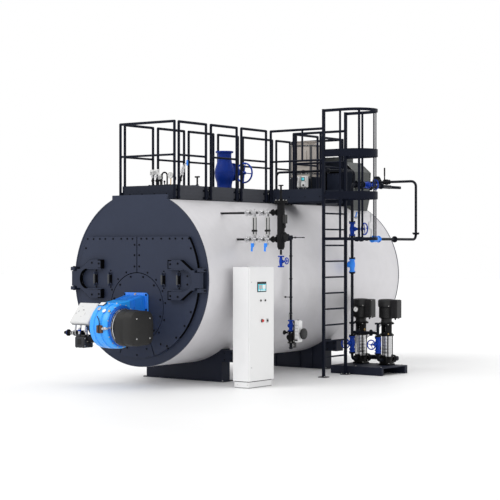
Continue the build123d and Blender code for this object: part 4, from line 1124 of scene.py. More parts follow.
p.bolts(V(-0.435, BS, 0.690), X, 0.057, 4, 0.008, 0.009, ZN, 0.6)
# chain of fittings out to the cut pipe end
for x0, x1, r, mat in ((-0.560, -0.640, 0.043, "castblack"), (-0.640, -0.660, 0.036, "iron"), (-0.660, -0.685, 0.0435, "castblack"), (-0.685, -0.705, 0.038, "steel"),
                       (-0.705, -0.735, 0.0435, "iron"), (-0.735, -0.760, 0.036, "steel"), (-0.760, -0.785, 0.0275, "iron"), (-0.785, -0.800, 0.025, "steel"),
                       (-0.800, -0.850, 0.0275, "castblack"), (-0.850, -0.858, 0.0495, "iron"), (-0.858, -0.868, 0.044, "dblue"), (-0.868, -0.875, 0.0495, "iron"), (-0.875, -0.898, 0.0255, "dblue"), (-0.898, -0.920, 0.0255, "iron"),
                       (-0.920, -0.9345, 0.024, "rubber")):
    p.cyl(V(x0, BS, 0.768), V(x1, BS, 0.768), r, M[mat], 28 if r > 0.04 else 20, ch=0.003)
for k in range(4):
    a = tau * k / 4 + 0.5
    p.hexa(V(-0.875, BS + 0.038 * math.cos(a), 0.768 + 0.038 * math.sin(a)), -X, 0.006, 0.006, ZN)
p.cyl(V(-0.60, -0.64, 0.7545), V(-0.60, -0.64, 0.850), 0.021, M["steel"], 20)
p.cyl(V(-0.50, BS, 0.750), V(-0.50, BS, 0.868), 0.021, M["steel"], 20)
p.cyl(V(-0.60, -0.64, 0.800), V(-0.60, -0.64, 0.823), 0.028, M["dblue"], 6)
for k in range(3):
    p.tube([V(-0.43 - 0.01 * k, -0.56, 0.795), V(-0.40, -0.55 + 0.01 * k, 0.86), V(-0.30, -0.56, 0.88 + 0.012 * k), V(-0.17, -0.60, 0.86 + 0.012 * k)], 0.005, M["cable"], 0.04, 8)
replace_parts(p.done(), "burner_gas_train")

# ------------------------------------------------------------------ main steam valve
p = Piece("steam_valve")
RY = M["royal"]
sv = V(0, 2.069, 0)
p.lathe(Vector((0, sv.y, 2.8155)), Z, [(0, 0.084), (0.095, 0.084), (0.1095, 0.100), (0.1095, 0.140), (0.1115, 0.142), (0.132, 0.142), (0.134, 0.140), (0.134, 0.080)], M["pipe"], 48, closed=False)
p.lathe(Vector((0, sv.y, 2.9495)), Z, [(0, 0.120), (0.0015, 0.120)], M["gasket"], 40)
p.lathe(Vector((0, sv.y, 2.951)), Z, [(0, 0.08), (0, 0.1400), (0.002, 0.142), (0.021, 0.142), (0.023, 0.140), (0.024, 0.122), (0.030, 0.118), (0.075, 0.118), (0.12, 0.126),
       (0.165, 0.141), (0.205, 0.153), (0.250, 0.1575), (0.295, 0.157), (0.340, 0.149), (0.385, 0.136), (0.430, 0.122), (0.480, 0.113), (0.560, 0.110), (0.583, 0.114),
       (0.590, 0.124), (0.591, 0.140), (0.593, 0.142), (0.6160, 0.142), (0.618, 0.140), (0.618, 0.077), (0.560, 0.075), (0.500, 0.075)], RY, 56)
p.bolts(Vector((0, sv.y, 2.975)), Z, 0.122, 8, 0.011, 0.012, BK, 0.39)
p.bolts(Vector((0, sv.y, 2.925)), -Z, 0.122, 8, 0.011, 0.012, BK, 0.39)
p.ringd(Vector((0, sv.y, 3.5685)), Vector((0, sv.y, 3.5700)), 0.118, 0.0755, M["gasket"], 48)
# raised ring round the globe
p.torus(Vector((0, sv.y, 3.235)), Z, 0.1545, 0.006, RY, 56, 8)
# bonnet towards the rear, with yoke and gland
p.lathe(V(0, 2.069 + 0.085, 3.245), Yd, [(0, 0.118), (0.05, 0.113), (0.085, 0.111), (0.098, 0.120), (0.101, 0.142), (0.104, 0.145), (0.120, 0.145), (0.123, 0.143)], RY, 52)
p.lathe(V(0, 2.069 + 0.210, 3.245), Yd, [(0, 0.143), (0.002, 0.1455), (0.013, 0.1455), (0.0155, 0.141), (0.022, 0.100), (0.060, 0.060), (0.075, 0.050), (0.085, 0.046)], RY, 44)
p.bolts(V(0, 2.069 + 0.2235, 3.245), Yd, 0.126, 8, 0.010, 0.011, BK, 0.2)
for sg in (-1, 1):
    p.bar(V(sg * 0.052, 2.069 + 0.25, 3.245), V(sg * 0.036, 2.069 + 0.42, 3.245), 0.018, 0.034, RY, 0.005)
p.lathe(V(0, 2.069 + 0.405, 3.245), Yd, [(0, 0.030), (0.0, 0.046), (0.03, 0.044), (0.036, 0.030), (0.040, 0.018)], RY, 32)
p.lathe(V(0, 2.069 + 0.29, 3.245), Yd, [(0, 0.032), (0.02, 0.032), (0.022, 0.024), (0.05, 0.024)], M["brass"], 24)
p.lathe(V(0, 2.069 + 0.33, 3.245), Yd, [(0, 0.0165), (0.214, 0.0165), (0.218, 0.014)], M["steel"], 24)
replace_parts(p.done(), "steam_valve_body")

p = Piece("steam_wheel", "steam_handwheel")
p.wheel(V(0, 2.597, 3.245), Yd, 0.1575, 0.0138, 0.027, 0.046, 4, M["dblue"], dish=0.0, phase=0.12)
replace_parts(p.done(), "steam_handwheel")

# ------------------------------------------------------------------ small valve, used at several places
def gate_valve(pc, c, axis, side, length, r_fl, r_body, stem, mat, bolt=0.007, top=None):
    """Flanged valve along axis, centre c, with its bonnet towards side; stem is where the wheel sits."""
    a = Vector(axis).normalized()
    b = Vector(side).normalized()
    c = Vector(c)
    h = length / 2
    pc.lathe(c - a * h, a, [(0, r_fl * 0.5), (0, r_fl - 0.002), (0.002, r_fl), (0.014, r_fl), (0.016, r_fl - 0.003), (0.017, r_body * 0.82), (h * 0.55, r_body * 0.86),
             (h * 0.8, r_body * 1.04), (h, r_body * 1.08), (h * 1.2, r_body * 1.04), (h * 1.45, r_body * 0.86), (length - 0.017, r_body * 0.82), (length - 0.016, r_fl - 0.003),
             (length - 0.014, r_fl), (length - 0.002, r_fl), (length, r_fl - 0.002), (length, r_fl * 0.5)], mat, 32)
    for sg in (-1, 1):
        pc.bolts(c + a * (sg * (h - 0.016)), -a * sg, r_fl * 0.80, 4, bolt, bolt * 1.2, BK, 0.8)
    k = stem
    pc.lathe(c + b * r_body * 0.5, b, [(0, r_body * 0.72), (r_body * 0.55, r_body * 0.66), (r_body * 0.6, r_body * 0.92), (r_body * 0.95, r_body * 0.92), (r_body * 1.0, r_body * 0.60),
             (max(r_body * 1.25, k * 0.42), r_body * 0.44), (max(r_body * 1.3, k * 0.44), r_body * 0.34)], mat, 28)
    pc.bolts(c + b * (r_body * 1.45), b, r_body * 0.78, 4, bolt * 0.8, bolt, BK, 0.8)


# ------------------------------------------------------------------ instruments in front on the walkway
p = Piece("top_instruments")
PP = M["pipe"]
p.tube([V(-0.309, 0.583, 2.965), V(0.299, 0.583, 2.965)], 0.0175, PP, 0.02, 20)
for x in (-0.309, 0.299):
    p.cyl(V(x - 0.001, 0.583, 2.965) if x > 0 else V(x, 0.583, 2.965), V(x + (0.0005 if x > 0 else 0.02), 0.583, 2.965), 0.022, PP, 20)
for x in (-0.250, 0.240):
    p.lathe(V(x, 0.583, 2.8155), Z, [(0, 0.040), (0.010, 0.040), (0.012, 0.020), (0.060, 0.018), (0.062, 0.026), (0.080, 0.026), (0.082, 0.018), (0.148, 0.016)], PP, 24)
for x in (-0.22, -0.14, -0.06, 0.02, 0.10, 0.18):
    p.lathe(V(x - 0.012, 0.583, 2.965), X, [(0, 0.018), (0.001, 0.026), (0.023, 0.026), (0.024, 0.018)], M["iron"], 6)
p.tube([V(-0.053, 0.583, 2.965), V(-0.053, 0.583, 3.168), V(0.053, 0.583, 3.168), V(0.053, 0.583, 2.965)], 0.0118, M["iron"], 0.0525, 16, 12)
p.lathe(V(0.0, 0.583, 2.985), Z, [(0, 0.009), (0.03, 0.009), (0.032, 0.015), (0.052, 0.015), (0.060, 0.006), (0.060, 0)], M["iron"], 16)
# pressure transmitters: small pale housings on stems with dark valves
for x, z1 in ((-0.240, 3.215), (-0.160, 3.222), (-0.080, 3.150)):
    p.cyl(V(x, 0.583, 2.975), V(x, 0.583, 3.100), 0.0085, M["iron"], 14)
    p.lathe(V(x, 0.583, 3.030), Z, [(0, 0.010), (0.004, 0.018), (0.030, 0.018), (0.034, 0.010)], M["iron"], 18)
    p.cyl(V(x + 0.018, 0.583, 3.047), V(x + 0.045, 0.583, 3.047), 0.006, M["iron"], 10)
    p.lathe(V(x, 0.583, 3.085), Z, [(0, 0.014), (0.018, 0.014), (0.020, 0.024), (0.034, 0.024), (0.036, 0.012), (0.045, 0.012)], M["steel"], 20)
    p.box(x - 0.031, x + 0.031, V(0, 0.556, 0).y, V(0, 0.612, 0).y, z1 - 0.085, z1, M["dial"], 0.006)
    p.box(x - 0.024, x + 0.024, V(0, 0.5535, 0).y, V(0, 0.557, 0).y, z1 - 0.074, z1 - 0.030, M["lightgrey"], 0.002)
    p.cyl(V(x - 0.001, 0.612, z1 - 0.045), V(x - 0.001, 0.632, z1 - 0.045), 0.008, M["rubber"], 14)
# two small gauges facing the front
p.cyl(V(0.125, 0.583, 2.98), V(0.125, 0.583, 3.075), 0.0075, M["brass"], 14)
p.dial(V(0.125, 0.590, 3.120), -Yd, 0.048, 0.026)
p.cyl(V(0.205, 0.583, 2.98), V(0.205, 0.583, 3.050), 0.0075, M["iron"], 14)
p.lathe(V(0.205, 0.583, 3.045), Z, [(0, 0.012), (0.004, 0.020), (0.05, 0.020), (0.054, 0.010), (0.054, 0)], M["iron"], 20)
# inclined safety valve with its bright body and blue lever
d = (V(0.375, 0.583, 3.240) - V(0.340, 0.583, 3.130)).normalized()
d2 = (V(0.340, 0.583, 3.130) - V(0.285, 0.583, 2.970)).normalized()
p.cyl(V(0.285, 0.583, 2.970), V(0.340, 0.583, 3.130), 0.0155, M["iron"], 18)
p.lathe(V(0.306, 0.583, 3.030), d2, [(0, 0.017), (0.003, 0.027), (0.022, 0.027), (0.025, 0.017)], M["iron"], 6)
p.lathe(V(0.336, 0.583, 3.118), d, [(0, 0.018), (0.004, 0.030), (0.022, 0.030), (0.026, 0.022), (0.040, 0.022), (0.046, 0.031), (0.070, 0.031), (0.078, 0.024), (0.10, 0.022),
        (0.106, 0.028), (0.124, 0.028), (0.130, 0.016), (0.150, 0.014)], M["steel"], 24)
p.tube([V(0.380, 0.583, 3.262), V(0.405, 0.583, 3.285), V(0.436, 0.583, 3.300)], 0.0075, M["steel"], 0.02, 12)
p.box(0.4325, 0.4548, V(0, 0.571, 0).y, V(0, 0.595, 0).y, 3.256, 3.339, M["lblue"], 0.005)
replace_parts(p.done(), "top_instrument_manifold")

p = Piece("inspection_cover")
p.lathe(V(0, 1.293, 2.8155), Z, [(0, 0.150), (0.115, 0.150), (0.1195, 0.160), (0.1195, 0.188), (0.1215, 0.190), (0.131, 0.190), (0.133, 0.188)], M["navy_arm"], 56)
p.ringd(V(0, 1.293, 2.9485), V(0, 1.293, 2.9505), 0.184, 0.12, M["gasket"], 48)
p.lathe(V(0, 1.293, 2.9505), Z, [(0, 0.188), (0.002, 0.190), (0.010, 0.190), (0.012, 0.187), (0.013, 0.130), (0.018, 0.120), (0.032, 0.102), (0.043, 0.078), (0.0490, 0.045), (0.0495, 0)], M["navy_arm"], 56)
p.bolts(V(0, 1.293, 2.9625), Z, 0.160, 14, 0.011, 0.012, BK, 0.1)
p.bolts(V(0, 1.293, 2.935), -Z, 0.160, 14, 0.011, 0.010, BK, 0.1)
p.cyl(V(0.02, 1.350, 2.960), V(0.02, 1.350, 3.125), 0.0138, M["iron"], 18)
p.lathe(V(0.02, 1.350, 2.985), Z, [(0, 0.016), (0.004, 0.023), (0.026, 0.023), (0.03, 0.016)], M["iron"], 6)
p.tube([V(-0.024, 1.350, 3.130), V(0.064, 1.350, 3.130)], 0.0126, M["iron"], 0.02, 16)
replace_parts(p.done(), "top_inspection_cover")

# ------------------------------------------------------------------ flue duct and economizer
p = Piece("flue_details")
for x, s in ((0.200, 4.240), (-0.240, 4.240), (0.200, 4.600), (-0.240, 4.600)):
    sx = 1 if x > 0 else -1
    ss = -1 if s < 4.4 else 1
    p.box(x - sx * 0.030, x + sx * 0.0035, V(0, s, 0).y, V(0, s + ss * 0.0035, 0).y, 2.83, 3.795, M["skirt"], 0.001)
    p.box(x, x + sx * 0.0035, V(0, s - ss * 0.030, 0).y, V(0, s + ss * 0.0035, 0).y, 2.83, 3.795, M["skirt"], 0.001)
for z in (2.835, 3.300, 3.780):
    p.box(-0.244, 0.204, V(0, 4.236, 0).y, V(0, 4.240, 0).y, z - 0.014, z + 0.014, M["skirt"], 0.001)
    p.box(0.200, 0.204, V(0, 4.236, 0).y, V(0, 4.604, 0).y, z - 0.014, z + 0.014, M["skirt"], 0.001)
    p.box(-0.244, -0.240, V(0, 4.236, 0).y, V(0, 4.604, 0).y, z - 0.014, z + 0.014, M["skirt"], 0.001)
    for x in (-0.20, -0.10, 0.0, 0.10, 0.16):
        p.hexa(V(x, 4.236, z), -Yd, 0.006, 0.005, ZN)
    for s in (4.30, 4.42, 4.54):
        p.hexa(V(0.204, s, z), X, 0.006, 0.005, ZN)
c = V(-0.03, 4.42, 0)
p.ringd(Vector((c.x, c.y, 3.800)), Vector((c.x, c.y, 3.812)), 0.196, 0.181, M["beige"], 56)
for k in range(8):
    a = tau * (k + 0.5) / 8
    p.hexa(Vector((c.x + 0.197 * math.cos(a), c.y + 0.197 * math.sin(a), 3.849)), -Z, 0.009, 0.009, ZN)
p.ringd(Vector((c.x, c.y, 3.795)), Vector((c.x, c.y, 3.861)), 0.1699, 0.1685, M["skirt"], 56)
# dark lower jacket of the duct
p.box(-0.2385, 0.1985, V(0, 4.2345, 0).y, V(0, 4.240, 0).y, 2.85, 3.245, M["ecofront"], 0.002)
p.box(0.200, 0.2035, V(0, 4.245, 0).y, V(0, 4.595, 0).y, 2.85, 3.245, M["ecofront"], 0.0015)
for x in (-0.22, -0.08, 0.05, 0.18):
    for z in (2.88, 3.225):
        p.hexa(V(x, 4.2345, z), -Yd, 0.006, 0.005, ZN)
# cleaning cover on the camera side
p.box(-0.17, 0.11, V(0, 4.231, 0).y, V(0, 4.240, 0).y, 3.42, 3.70, M["beige"], 0.003)
for x, z in ((-0.15, 3.44), (0.09, 3.44), (-0.15, 3.68), (0.09, 3.68)):
    p.hexa(V(x, 4.231, z), -Yd, 0.009, 0.008, ZN)
p.done()

p = Piece("modulating_valves")
for x0 in (0.000, 0.150):
    s = 4.120
    p.cyl(V(x0, s, 2.8155), V(x0, s, 2.870), 0.016, M["steel"], 18)
    p.lathe(V(x0, s, 2.866), Z, [(0, 0.020), (0.004, 0.032), (0.012, 0.032), (0.016, 0.024), (0.040, 0.034), (0.060, 0.030), (0.075, 0.020), (0.090, 0.032), (0.100, 0.032), (0.104, 0.016)], M["steel"], 26)
    p.tube([V(x0 - 0.06, s, 2.908), V(x0 + 0.06, s, 2.908)], 0.017, M["steel"], 0.02, 16)
    for d in (-0.06, 0.055):
        p.lathe(V(x0 + d, s, 2.908), X, [(0, 0.018), (0, 0.028), (0.010, 0.028), (0.010, 0.018)], M["steel"], 20)
    for d in (-0.022, 0.022):
        p.cyl(V(x0 + d, s, 2.965), V(x0 + d, s, 3.055), 0.006, M["steel"], 12)
    # pale head with a dark window, screwed lid and cable entry
    p.box(x0 - 0.050, x0 + 0.050, V(0, s - 0.045, 0).y, V(0, s + 0.045, 0).y, 3.055, 3.245, M["dial"], 0.010)
    p.box(x0 - 0.040, x0 + 0.034, V(0, s - 0.049, 0).y, V(0, s - 0.045, 0).y, 3.165, 3.232, M["ink"], 0.001)
    p.box(x0 - 0.030, x0 + 0.024, V(0, s - 0.0505, 0).y, V(0, s - 0.0485, 0).y, 3.178, 3.222, M["screen"], 0.0005)
    p.box(x0 - 0.016, x0 + 0.020, V(0, s - 0.048, 0).y, V(0, s - 0.045, 0).y, 3.075, 3.110, M["ink"], 0.001)
    for dx in (-0.040, 0.040):
        for z in (3.066, 3.150):
            p.hexa(V(x0 + dx, s - 0.045, z), -Yd, 0.0055, 0.005, BK)
    p.lathe(V(x0 - 0.050, s, 3.095), -X, [(0, 0.012), (0.006, 0.012), (0.008, 0.009), (0.018, 0.009), (0.020, 0.006)], M["rubber"], 16)
p.done()

p = Piece("economizer_details")
low = [(-0.556, 2.752), (-0.572, 2.852), (-0.5965, 3.329), (-0.419, 3.507), (0.549, 3.507), (0.7515, 3.329), (0.722, 2.852), (0.697, 2.752)]
# front face of the casing: dark plate that is painted shade on this face
p.prism(low, lambda u, v, d: V(u, d, v), 4.7452, 4.7425, M["ecofront"], 0.0)
p.prism(low, lambda u, v, d: V(u, d, v), 5.2848, 5.2872, M["skirt"], 0.0)
for (xa, za), (xb, zb), sg in (((0.725, 2.850), (0.755, 3.330), 1), ((0.755, 3.330), (0.550, 3.510), 1),
                               ((-0.575, 2.850), (-0.600, 3.330), -1), ((-0.600, 3.330), (-0.420, 3.510), -1)):
    d = Vector((xb - xa, 0, zb - za)).normalized()
    nr = Vector((d.z, 0, -d.x)) * sg
    for s in (4.762, 5.268):
        a = V(xa + nr.x * 0.002, s, za + nr.z * 0.002)
        b = V(xb + nr.x * 0.002, s, zb + nr.z * 0.002)
        p.bar(a, b, 0.034, 0.004, M["galv"], 0.001, up=nr)
        m_ = int((b - a).length / 0.09)
        for k in range(1, m_):
            q = a + (b - a) * k / m_ + nr * 0.002
            p.lathe(q, nr, [(0, 0.0065), (0.002, 0.006), (0.004, 0.003), (0.004, 0)], ZN, 10)
    # black edge strip round the front face
    p.bar(V(xa - nr.x * 0.012, 4.7415, za - nr.z * 0.012), V(xb - nr.x * 0.012, 4.7415, zb - nr.z * 0.012), 0.024, 0.003, M["gasket"], 0.0005, up=Yd)
for x in (0.7565, -0.6015):
    p.bar(V(x, 4.745, 3.330), V(x, 5.285, 3.330), 0.004, 0.014, M["galv"], 0.001)
# lid of the raised cleaning frame on the roof, with its screws
p.box(-0.333, 0.453, V(0, 4.817, 0).y, V(0, 5.193, 0).y, 3.588, 3.603, M["ecofront"], 0.003)
for x in (-0.30, -0.15, 0.0, 0.14, 0.28, 0.42):
    for s in (4.835, 5.175):
        p.hexa(V(x, s, 3.603), Z, 0.009, 0.008, ZN)
for s in (4.92, 5.01, 5.10):
    p.hexa(V(0.438, s, 3.603), Z, 0.009, 0.008, ZN)
    p.hexa(V(-0.318, s, 3.603), Z, 0.009, 0.008, ZN)
for x in (-0.20, 0.32):
    p.tube([V(x - 0.05, 5.005, 3.603), V(x - 0.05, 5.005, 3.640), V(x + 0.05, 5.005, 3.640), V(x + 0.05, 5.005, 3.603)], 0.007, M["iron"], 0.02, 12)
# front cover panels in their dark frames, with screws
for x0, x1 in ((-0.445, -0.265), (0.200, 0.445)):
    p.box(x0 - 0.060, x1 + 0.060, V(0, 4.7395, 0).y, V(0, 4.7425, 0).y, 2.86, 3.36, M["gasket"], 0.001)
    p.box(x0, x1, V(0, 4.735, 0).y, V(0, 4.7395, 0).y, 2.90, 3.315, M["navy_arm"], 0.003)
    for k in range(4):
        xx = x0 + 0.02 + (x1 - x0 - 0.04) * k / 3
        for z in (2.915, 3.300):
            p.hexa(V(xx, 4.735, z), -Yd, 0.007, 0.006, BK)
# water connections with flanges on the ladder side
for s, z in ((4.860, 3.060), (5.000, 3.150)):
    p.lathe(V(0.742, s, z), X, [(0, 0.05), (0.0, 0.058), (0.012, 0.058), (0.014, 0.040), (0.05, 0.034)], M["galv"], 32)
p.done()

# ------------------------------------------------------------------ level gauges
p = Piece("water_gauges")
GS = 0.880
ST = M["steel"]
for z, x0 in ((2.540, 0.850), (2.150, 1.150)):
    p.tube([V(x0, GS, z), V(1.925, GS, z)], 0.0165, M["iron"], 0.02, 18)
    for i, x in enumerate((1.371, 1.614, 1.846)):
        mt = ST if i < 2 else M["castblack"]
        bt = ZN if i < 2 else BK
        # flange, body, flange
        for fx in (-0.040, 0.028):
            p.lathe(V(x + fx, GS, z), X, [(0, 0.02), (0, 0.0465), (0.0015, 0.048), (0.0105, 0.048), (0.012, 0.0465), (0.012, 0.02)], mt, 28)
        p.bolts(V(x - 0.040, GS, z), -X, 0.037, 4, 0.006, 0.007, bt, 0.78)
        p.bolts(V(x + 0.040, GS, z), X, 0.037, 4, 0.006, 0.007, bt, 0.78)
        p.lathe(V(x - 0.030, GS, z), X, [(0, 0.022), (0.012, 0.030), (0.030, 0.033), (0.048, 0.030), (0.060, 0.022)], mt, 24)
        # stem and small wheel towards the camera side
        p.lathe(V(x, GS - 0.025, z), -Yd, [(0, 0.016), (0.010, 0.014), (0.012, 0.018), (0.020, 0.018), (0.022, 0.008), (0.042, 0.006)], mt, 16)
        p.torus(V(x, GS - 0.064, z), Yd, 0.026 if i < 2 else 0.034, 0.005, mt, 28, 8)
        for k in range(3):
            th = tau * k / 3 + 0.3
            p.bar(V(x, GS - 0.064, z), V(x + 0.024 * math.cos(th), GS - 0.064, z + 0.024 * math.sin(th)), 0.005, 0.004, mt, 0.001, up=Yd)
        p.lathe(V(x, GS - 0.058, z), -Yd, [(0, 0.009), (0.012, 0.008), (0.014, 0.0)], mt, 14)
for x in (1.475, 1.713):
    for z, dz in ((2.540, -1), (2.150, 1)):
        # gauge cock heads
        p.lathe(V(x - 0.045, GS, z), X, [(0, 0.017), (0.0, 0.030), (0.008, 0.030), (0.012, 0.022), (0.078, 0.022), (0.082, 0.030), (0.090, 0.030), (0.090, 0.017)], ST, 24)
        p.lathe(V(x, GS, z + dz * 0.010), Z * dz, [(0, 0.022), (0.020, 0.020), (0.022, 0.027), (0.040, 0.027), (0.042, 0.020), (0.050, 0.020)], ST, 6)
        p.lathe(V(x, GS - 0.018, z), -Yd, [(0, 0.016), (0.010, 0.016), (0.012, 0.010), (0.034, 0.009)], ST, 18)
        p.bar(V(x, GS - 0.050, z), V(x + 0.030, GS - 0.052, z + 0.034 * dz * -1), 0.010, 0.006, ST, 0.002, up=Yd)
    # glass holder: two bars with the glass between them
    p.box(x - 0.031, x + 0.031, V(0, GS - 0.022, 0).y, V(0, GS + 0.022, 0).y, 2.205, 2.485, M["lightgrey"], 0.005)
    p.box(x - 0.010, x + 0.010, V(0, GS - 0.0245, 0).y, V(0, GS - 0.0215, 0).y, 2.225, 2.465, M["glass"], 0.001)
    p.box(x + 0.0305, x + 0.0320, V(0, GS - 0.010, 0).y, V(0, GS + 0.010, 0).y, 2.225, 2.465, M["glass"], 0.001)
    for k in range(6):
        z = 2.222 + 0.049 * k
        for d in (-1, 1):
            p.hexa(V(x + d * 0.0215, GS - 0.022, z), -Yd, 0.0055, 0.006, ZN, washer=False)
    p.box(x - 0.034, x + 0.034, V(0, GS - 0.030, 0).y, V(0, GS + 0.030, 0).y, 2.262, 2.292, M["rubber"], 0.004)
    p.cyl(V(x, GS, 2.565), V(x, GS, 2.600), 0.012, ST, 16)
    # drain cock with light-blue lever
    p.cyl(V(x, GS, 2.135), V(x, GS, 2.060), 0.010, ST, 14)
    p.lathe(V(x, GS, 2.102), -Z, [(0, 0.012), (0.003, 0.018), (0.030, 0.018), (0.034, 0.012), (0.045, 0.009)], ST, 16)
    p.tube([V(x, GS - 0.016, 2.085), V(x, GS - 0.030, 2.085)], 0.007, ST, 0.01, 10)
    p.bar(V(x - 0.012, GS - 0.034, 2.094), V(x - 0.014, GS - 0.034, 2.036), 0.056, 0.009, M["lblue"], 0.004, up=Yd)
    p.bar(V(x - 0.020, GS - 0.034, 2.044), V(x - 0.026, GS - 0.034, 1.972), 0.034, 0.009, M["lblue"], 0.004, up=Yd)
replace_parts(p.done(), "level_gauges")

p = Piece("float_chamber")
SPX = 1.952
CB = M["castblack"]
p.lathe(V(SPX, GS, 2.000), Z, [(0, 0.030), (0.002, 0.040), (0.020, 0.046), (0.040, 0.0545), (0.045, 0.055), (0.670, 0.055), (0.676, 0.060), (0.676, 0.096), (0.678, 0.098), (0.692, 0.098), (0.694, 0.096)], CB, 44)
p.lathe(V(SPX, GS, 2.6955), Z, [(0, 0.096), (0.001, 0.098), (0.0150, 0.098), (0.0165, 0.095), (0.0165, 0.0)], CB, 44)
p.bolts(V(SPX, GS, 2.7115), Z, 0.080, 8, 0.009, 0.009, ZN, 0.3)
p.bolts(V(SPX, GS, 2.676), -Z, 0.080, 8, 0.009, 0.009, BK, 0.3)
p.lathe(V(SPX, GS, 2.712), Z, [(0, 0.020), (0.004, 0.026), (0.030, 0.026), (0.034, 0.0145), (0.110, 0.0145), (0.112, 0.020), (0.135, 0.020), (0.137, 0.0145), (0.216, 0.0145), (0.218, 0.0)], CB, 24)
p.tube([V(SPX - 0.039, GS, 2.930), V(SPX + 0.039, GS, 2.930)], 0.0098, CB, 0.02, 14)
# side switch box, round side flange, drain
p.box(SPX + 0.052, SPX + 0.0915, V(0, GS - 0.038, 0).y, V(0, GS + 0.038, 0).y, 2.378, 2.507, M["motor"], 0.006)
p.lathe(V(SPX + 0.072, GS, 2.378), -Z, [(0, 0.012), (0.02, 0.012), (0.024, 0.008), (0.04, 0.006)], M["rubber"], 16)
p.lathe(V(SPX + 0.045, GS, 2.335), X, [(0, 0.020), (0.012, 0.020), (0.014, 0.026), (0.026, 0.026), (0.028, 0)], CB, 24)
p.lathe(V(SPX + 0.045, GS, 2.180), X, [(0, 0.040), (0.008, 0.040), (0.010, 0.074), (0.024, 0.074), (0.026, 0.060), (0.046, 0.056), (0.048, 0.0)], CB, 40)
p.bolts(V(SPX + 0.069, GS, 2.180), X, 0.066, 6, 0.007, 0.007, BK, 0.2)
for z in (2.540, 2.150):
    p.lathe(V(SPX - 0.078, GS, z), X, [(0, 0.02), (0, 0.046), (0.012, 0.046), (0.014, 0.028), (0.03, 0.026)], CB, 28)
p.cyl(V(SPX, GS, 1.998), V(SPX, GS, 1.925), 0.0165, M["iron"], 18)
gate_valve(p, V(SPX, GS, 1.8285), Z, X, 0.167, 0.046, 0.026, 0.11, M["dblue"], 0.006)
p.cyl(V(SPX + 0.03, GS, 1.837), V(SPX + 0.108, GS, 1.837), 0.0075, M["steel"], 12)
p.torus(V(SPX + 0.1015, GS, 1.837), X, 0.044, 0.0078, M["dblue"], 36, 10)
for k in range(3):
    th = tau * k / 3
    p.bar(V(SPX + 0.1015, GS, 1.837), V(SPX + 0.1015, GS + 0.040 * math.cos(th), 1.837 + 0.040 * math.sin(th)), 0.009, 0.006, M["dblue"], 0.001, up=X)
p.lathe(V(SPX + 0.094, GS, 1.837), X, [(0, 0.013), (0.0145, 0.013), (0.015, 0)], M["dblue"], 16)
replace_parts(p.done(), "level_standpipe")

# ------------------------------------------------------------------ sample and blowdown line
p = Piece("sample_station")
TS = 1.955
xs = math.sqrt(R * R - (2.183 - AX_Z) ** 2)
PI, IR = M["pipe"], M["iron"]
p.lathe(V(xs - 0.02, TS, 2.183), X, [(0, 0.050), (0.030, 0.046), (0.040, 0.034)], PI, 32)
p.cyl(V(xs, TS, 2.183), V(1.292, TS, 2.183), 0.034, PI, 32)
p.lathe(V(1.288, TS, 2.183), X, [(0, 0.034), (0, 0.055), (0.002, 0.0565), (0.0155, 0.0565), (0.017, 0.055), (0.017, 0.03)], PI, 36)
p.lathe(V(1.307, TS, 2.183), X, [(0, 0.055), (0.0015, 0.0565), (0.0155, 0.0565), (0.017, 0.055), (0.018, 0.030), (0.060, 0.0295), (0.062, 0.034), (0.090, 0.034), (0.094, 0.020), (0.102, 0.012)], PI, 36)
p.bolts(V(1.288, TS, 2.183), -X, 0.045, 6, 0.007, 0.008, BK, 0.3)
p.bolts(V(1.324, TS, 2.183), X, 0.045, 6, 0.007, 0.008, BK, 0.3)
p.cyl(V(1.400, TS, 2.183), V(1.612, TS, 2.183), 0.0065, IR, 12)
p.tube([V(1.610, TS - 0.024, 2.183), V(1.610, TS + 0.024, 2.183)], 0.0085, IR, 0.01, 12)
p.lathe(V(1.440, TS, 2.183), X, [(0, 0.010), (0.004, 0.015), (0.030, 0.015), (0.034, 0.010)], IR, 6)
p.tube([V(1.345, TS, 2.150), V(1.376, TS, 2.150), V(1.376, TS, 0.915)], 0.0185, PI, 0.03, 20)
for z in (1.90, 1.55, 1.268, 1.02):
    p.lathe(V(1.376, TS, z - 0.012), Z, [(0, 0.019), (0.002, 0.025), (0.022, 0.025), (0.024, 0.019)], PI, 20)
# short stand-off to the cladding
xw = math.sqrt(R * R - (1.268 - AX_Z) ** 2)
p.cyl(V(xw - 0.010, TS, 1.268), V(1.376, TS, 1.268), 0.0050, PI, 12)
p.lathe(V(xw - 0.004, TS, 1.268), X, [(0, 0.014), (0.012, 0.0145), (0.022, 0.012), (0.024, 0.005)], IR, 20)
# blue shut-off valve, black control valve body below
gate_valve(p, V(1.376, TS, 0.8325), Z, -Yd, 0.170, 0.048, 0.034, 0.08, M["dblue"], 0.006)
for dx in (-0.034, 0.034):
    p.box(1.376 + dx - 0.004, 1.376 + dx + 0.004, V(0, TS - 0.008, 0).y, V(0, TS + 0.008, 0).y, 0.918, 1.010, M["lightgrey"], 0.001)
p.box(1.338, 1.414, V(0, TS - 0.010, 0).y, V(0, TS + 0.010, 0).y, 1.006, 1.014, M["lightgrey"], 0.001)
CBK = M["castblack"]
p.lathe(V(1.376, TS, 0.560), Z, [(0, 0.030), (0, 0.052), (0.016, 0.052), (0.018, 0.036), (0.040, 0.040), (0.080, 0.050), (0.120, 0.050), (0.150, 0.040), (0.170, 0.036), (0.172, 0.052), (0.188, 0.052), (0.188, 0.03)], CBK, 36)
p.bolts(V(1.376, TS, 0.576), Z, 0.042, 4, 0.007, 0.009, ZN, 0.7)
p.bolts(V(1.376, TS, 0.730), -Z, 0.042, 4, 0.007, 0.009, ZN, 0.7)
p.lathe(V(1.376, TS - 0.02, 0.655), -Yd, [(0, 0.040), (0.020, 0.040), (0.022, 0.046), (0.034, 0.046), (0.036, 0.030), (0.050, 0.026)], CBK, 28)
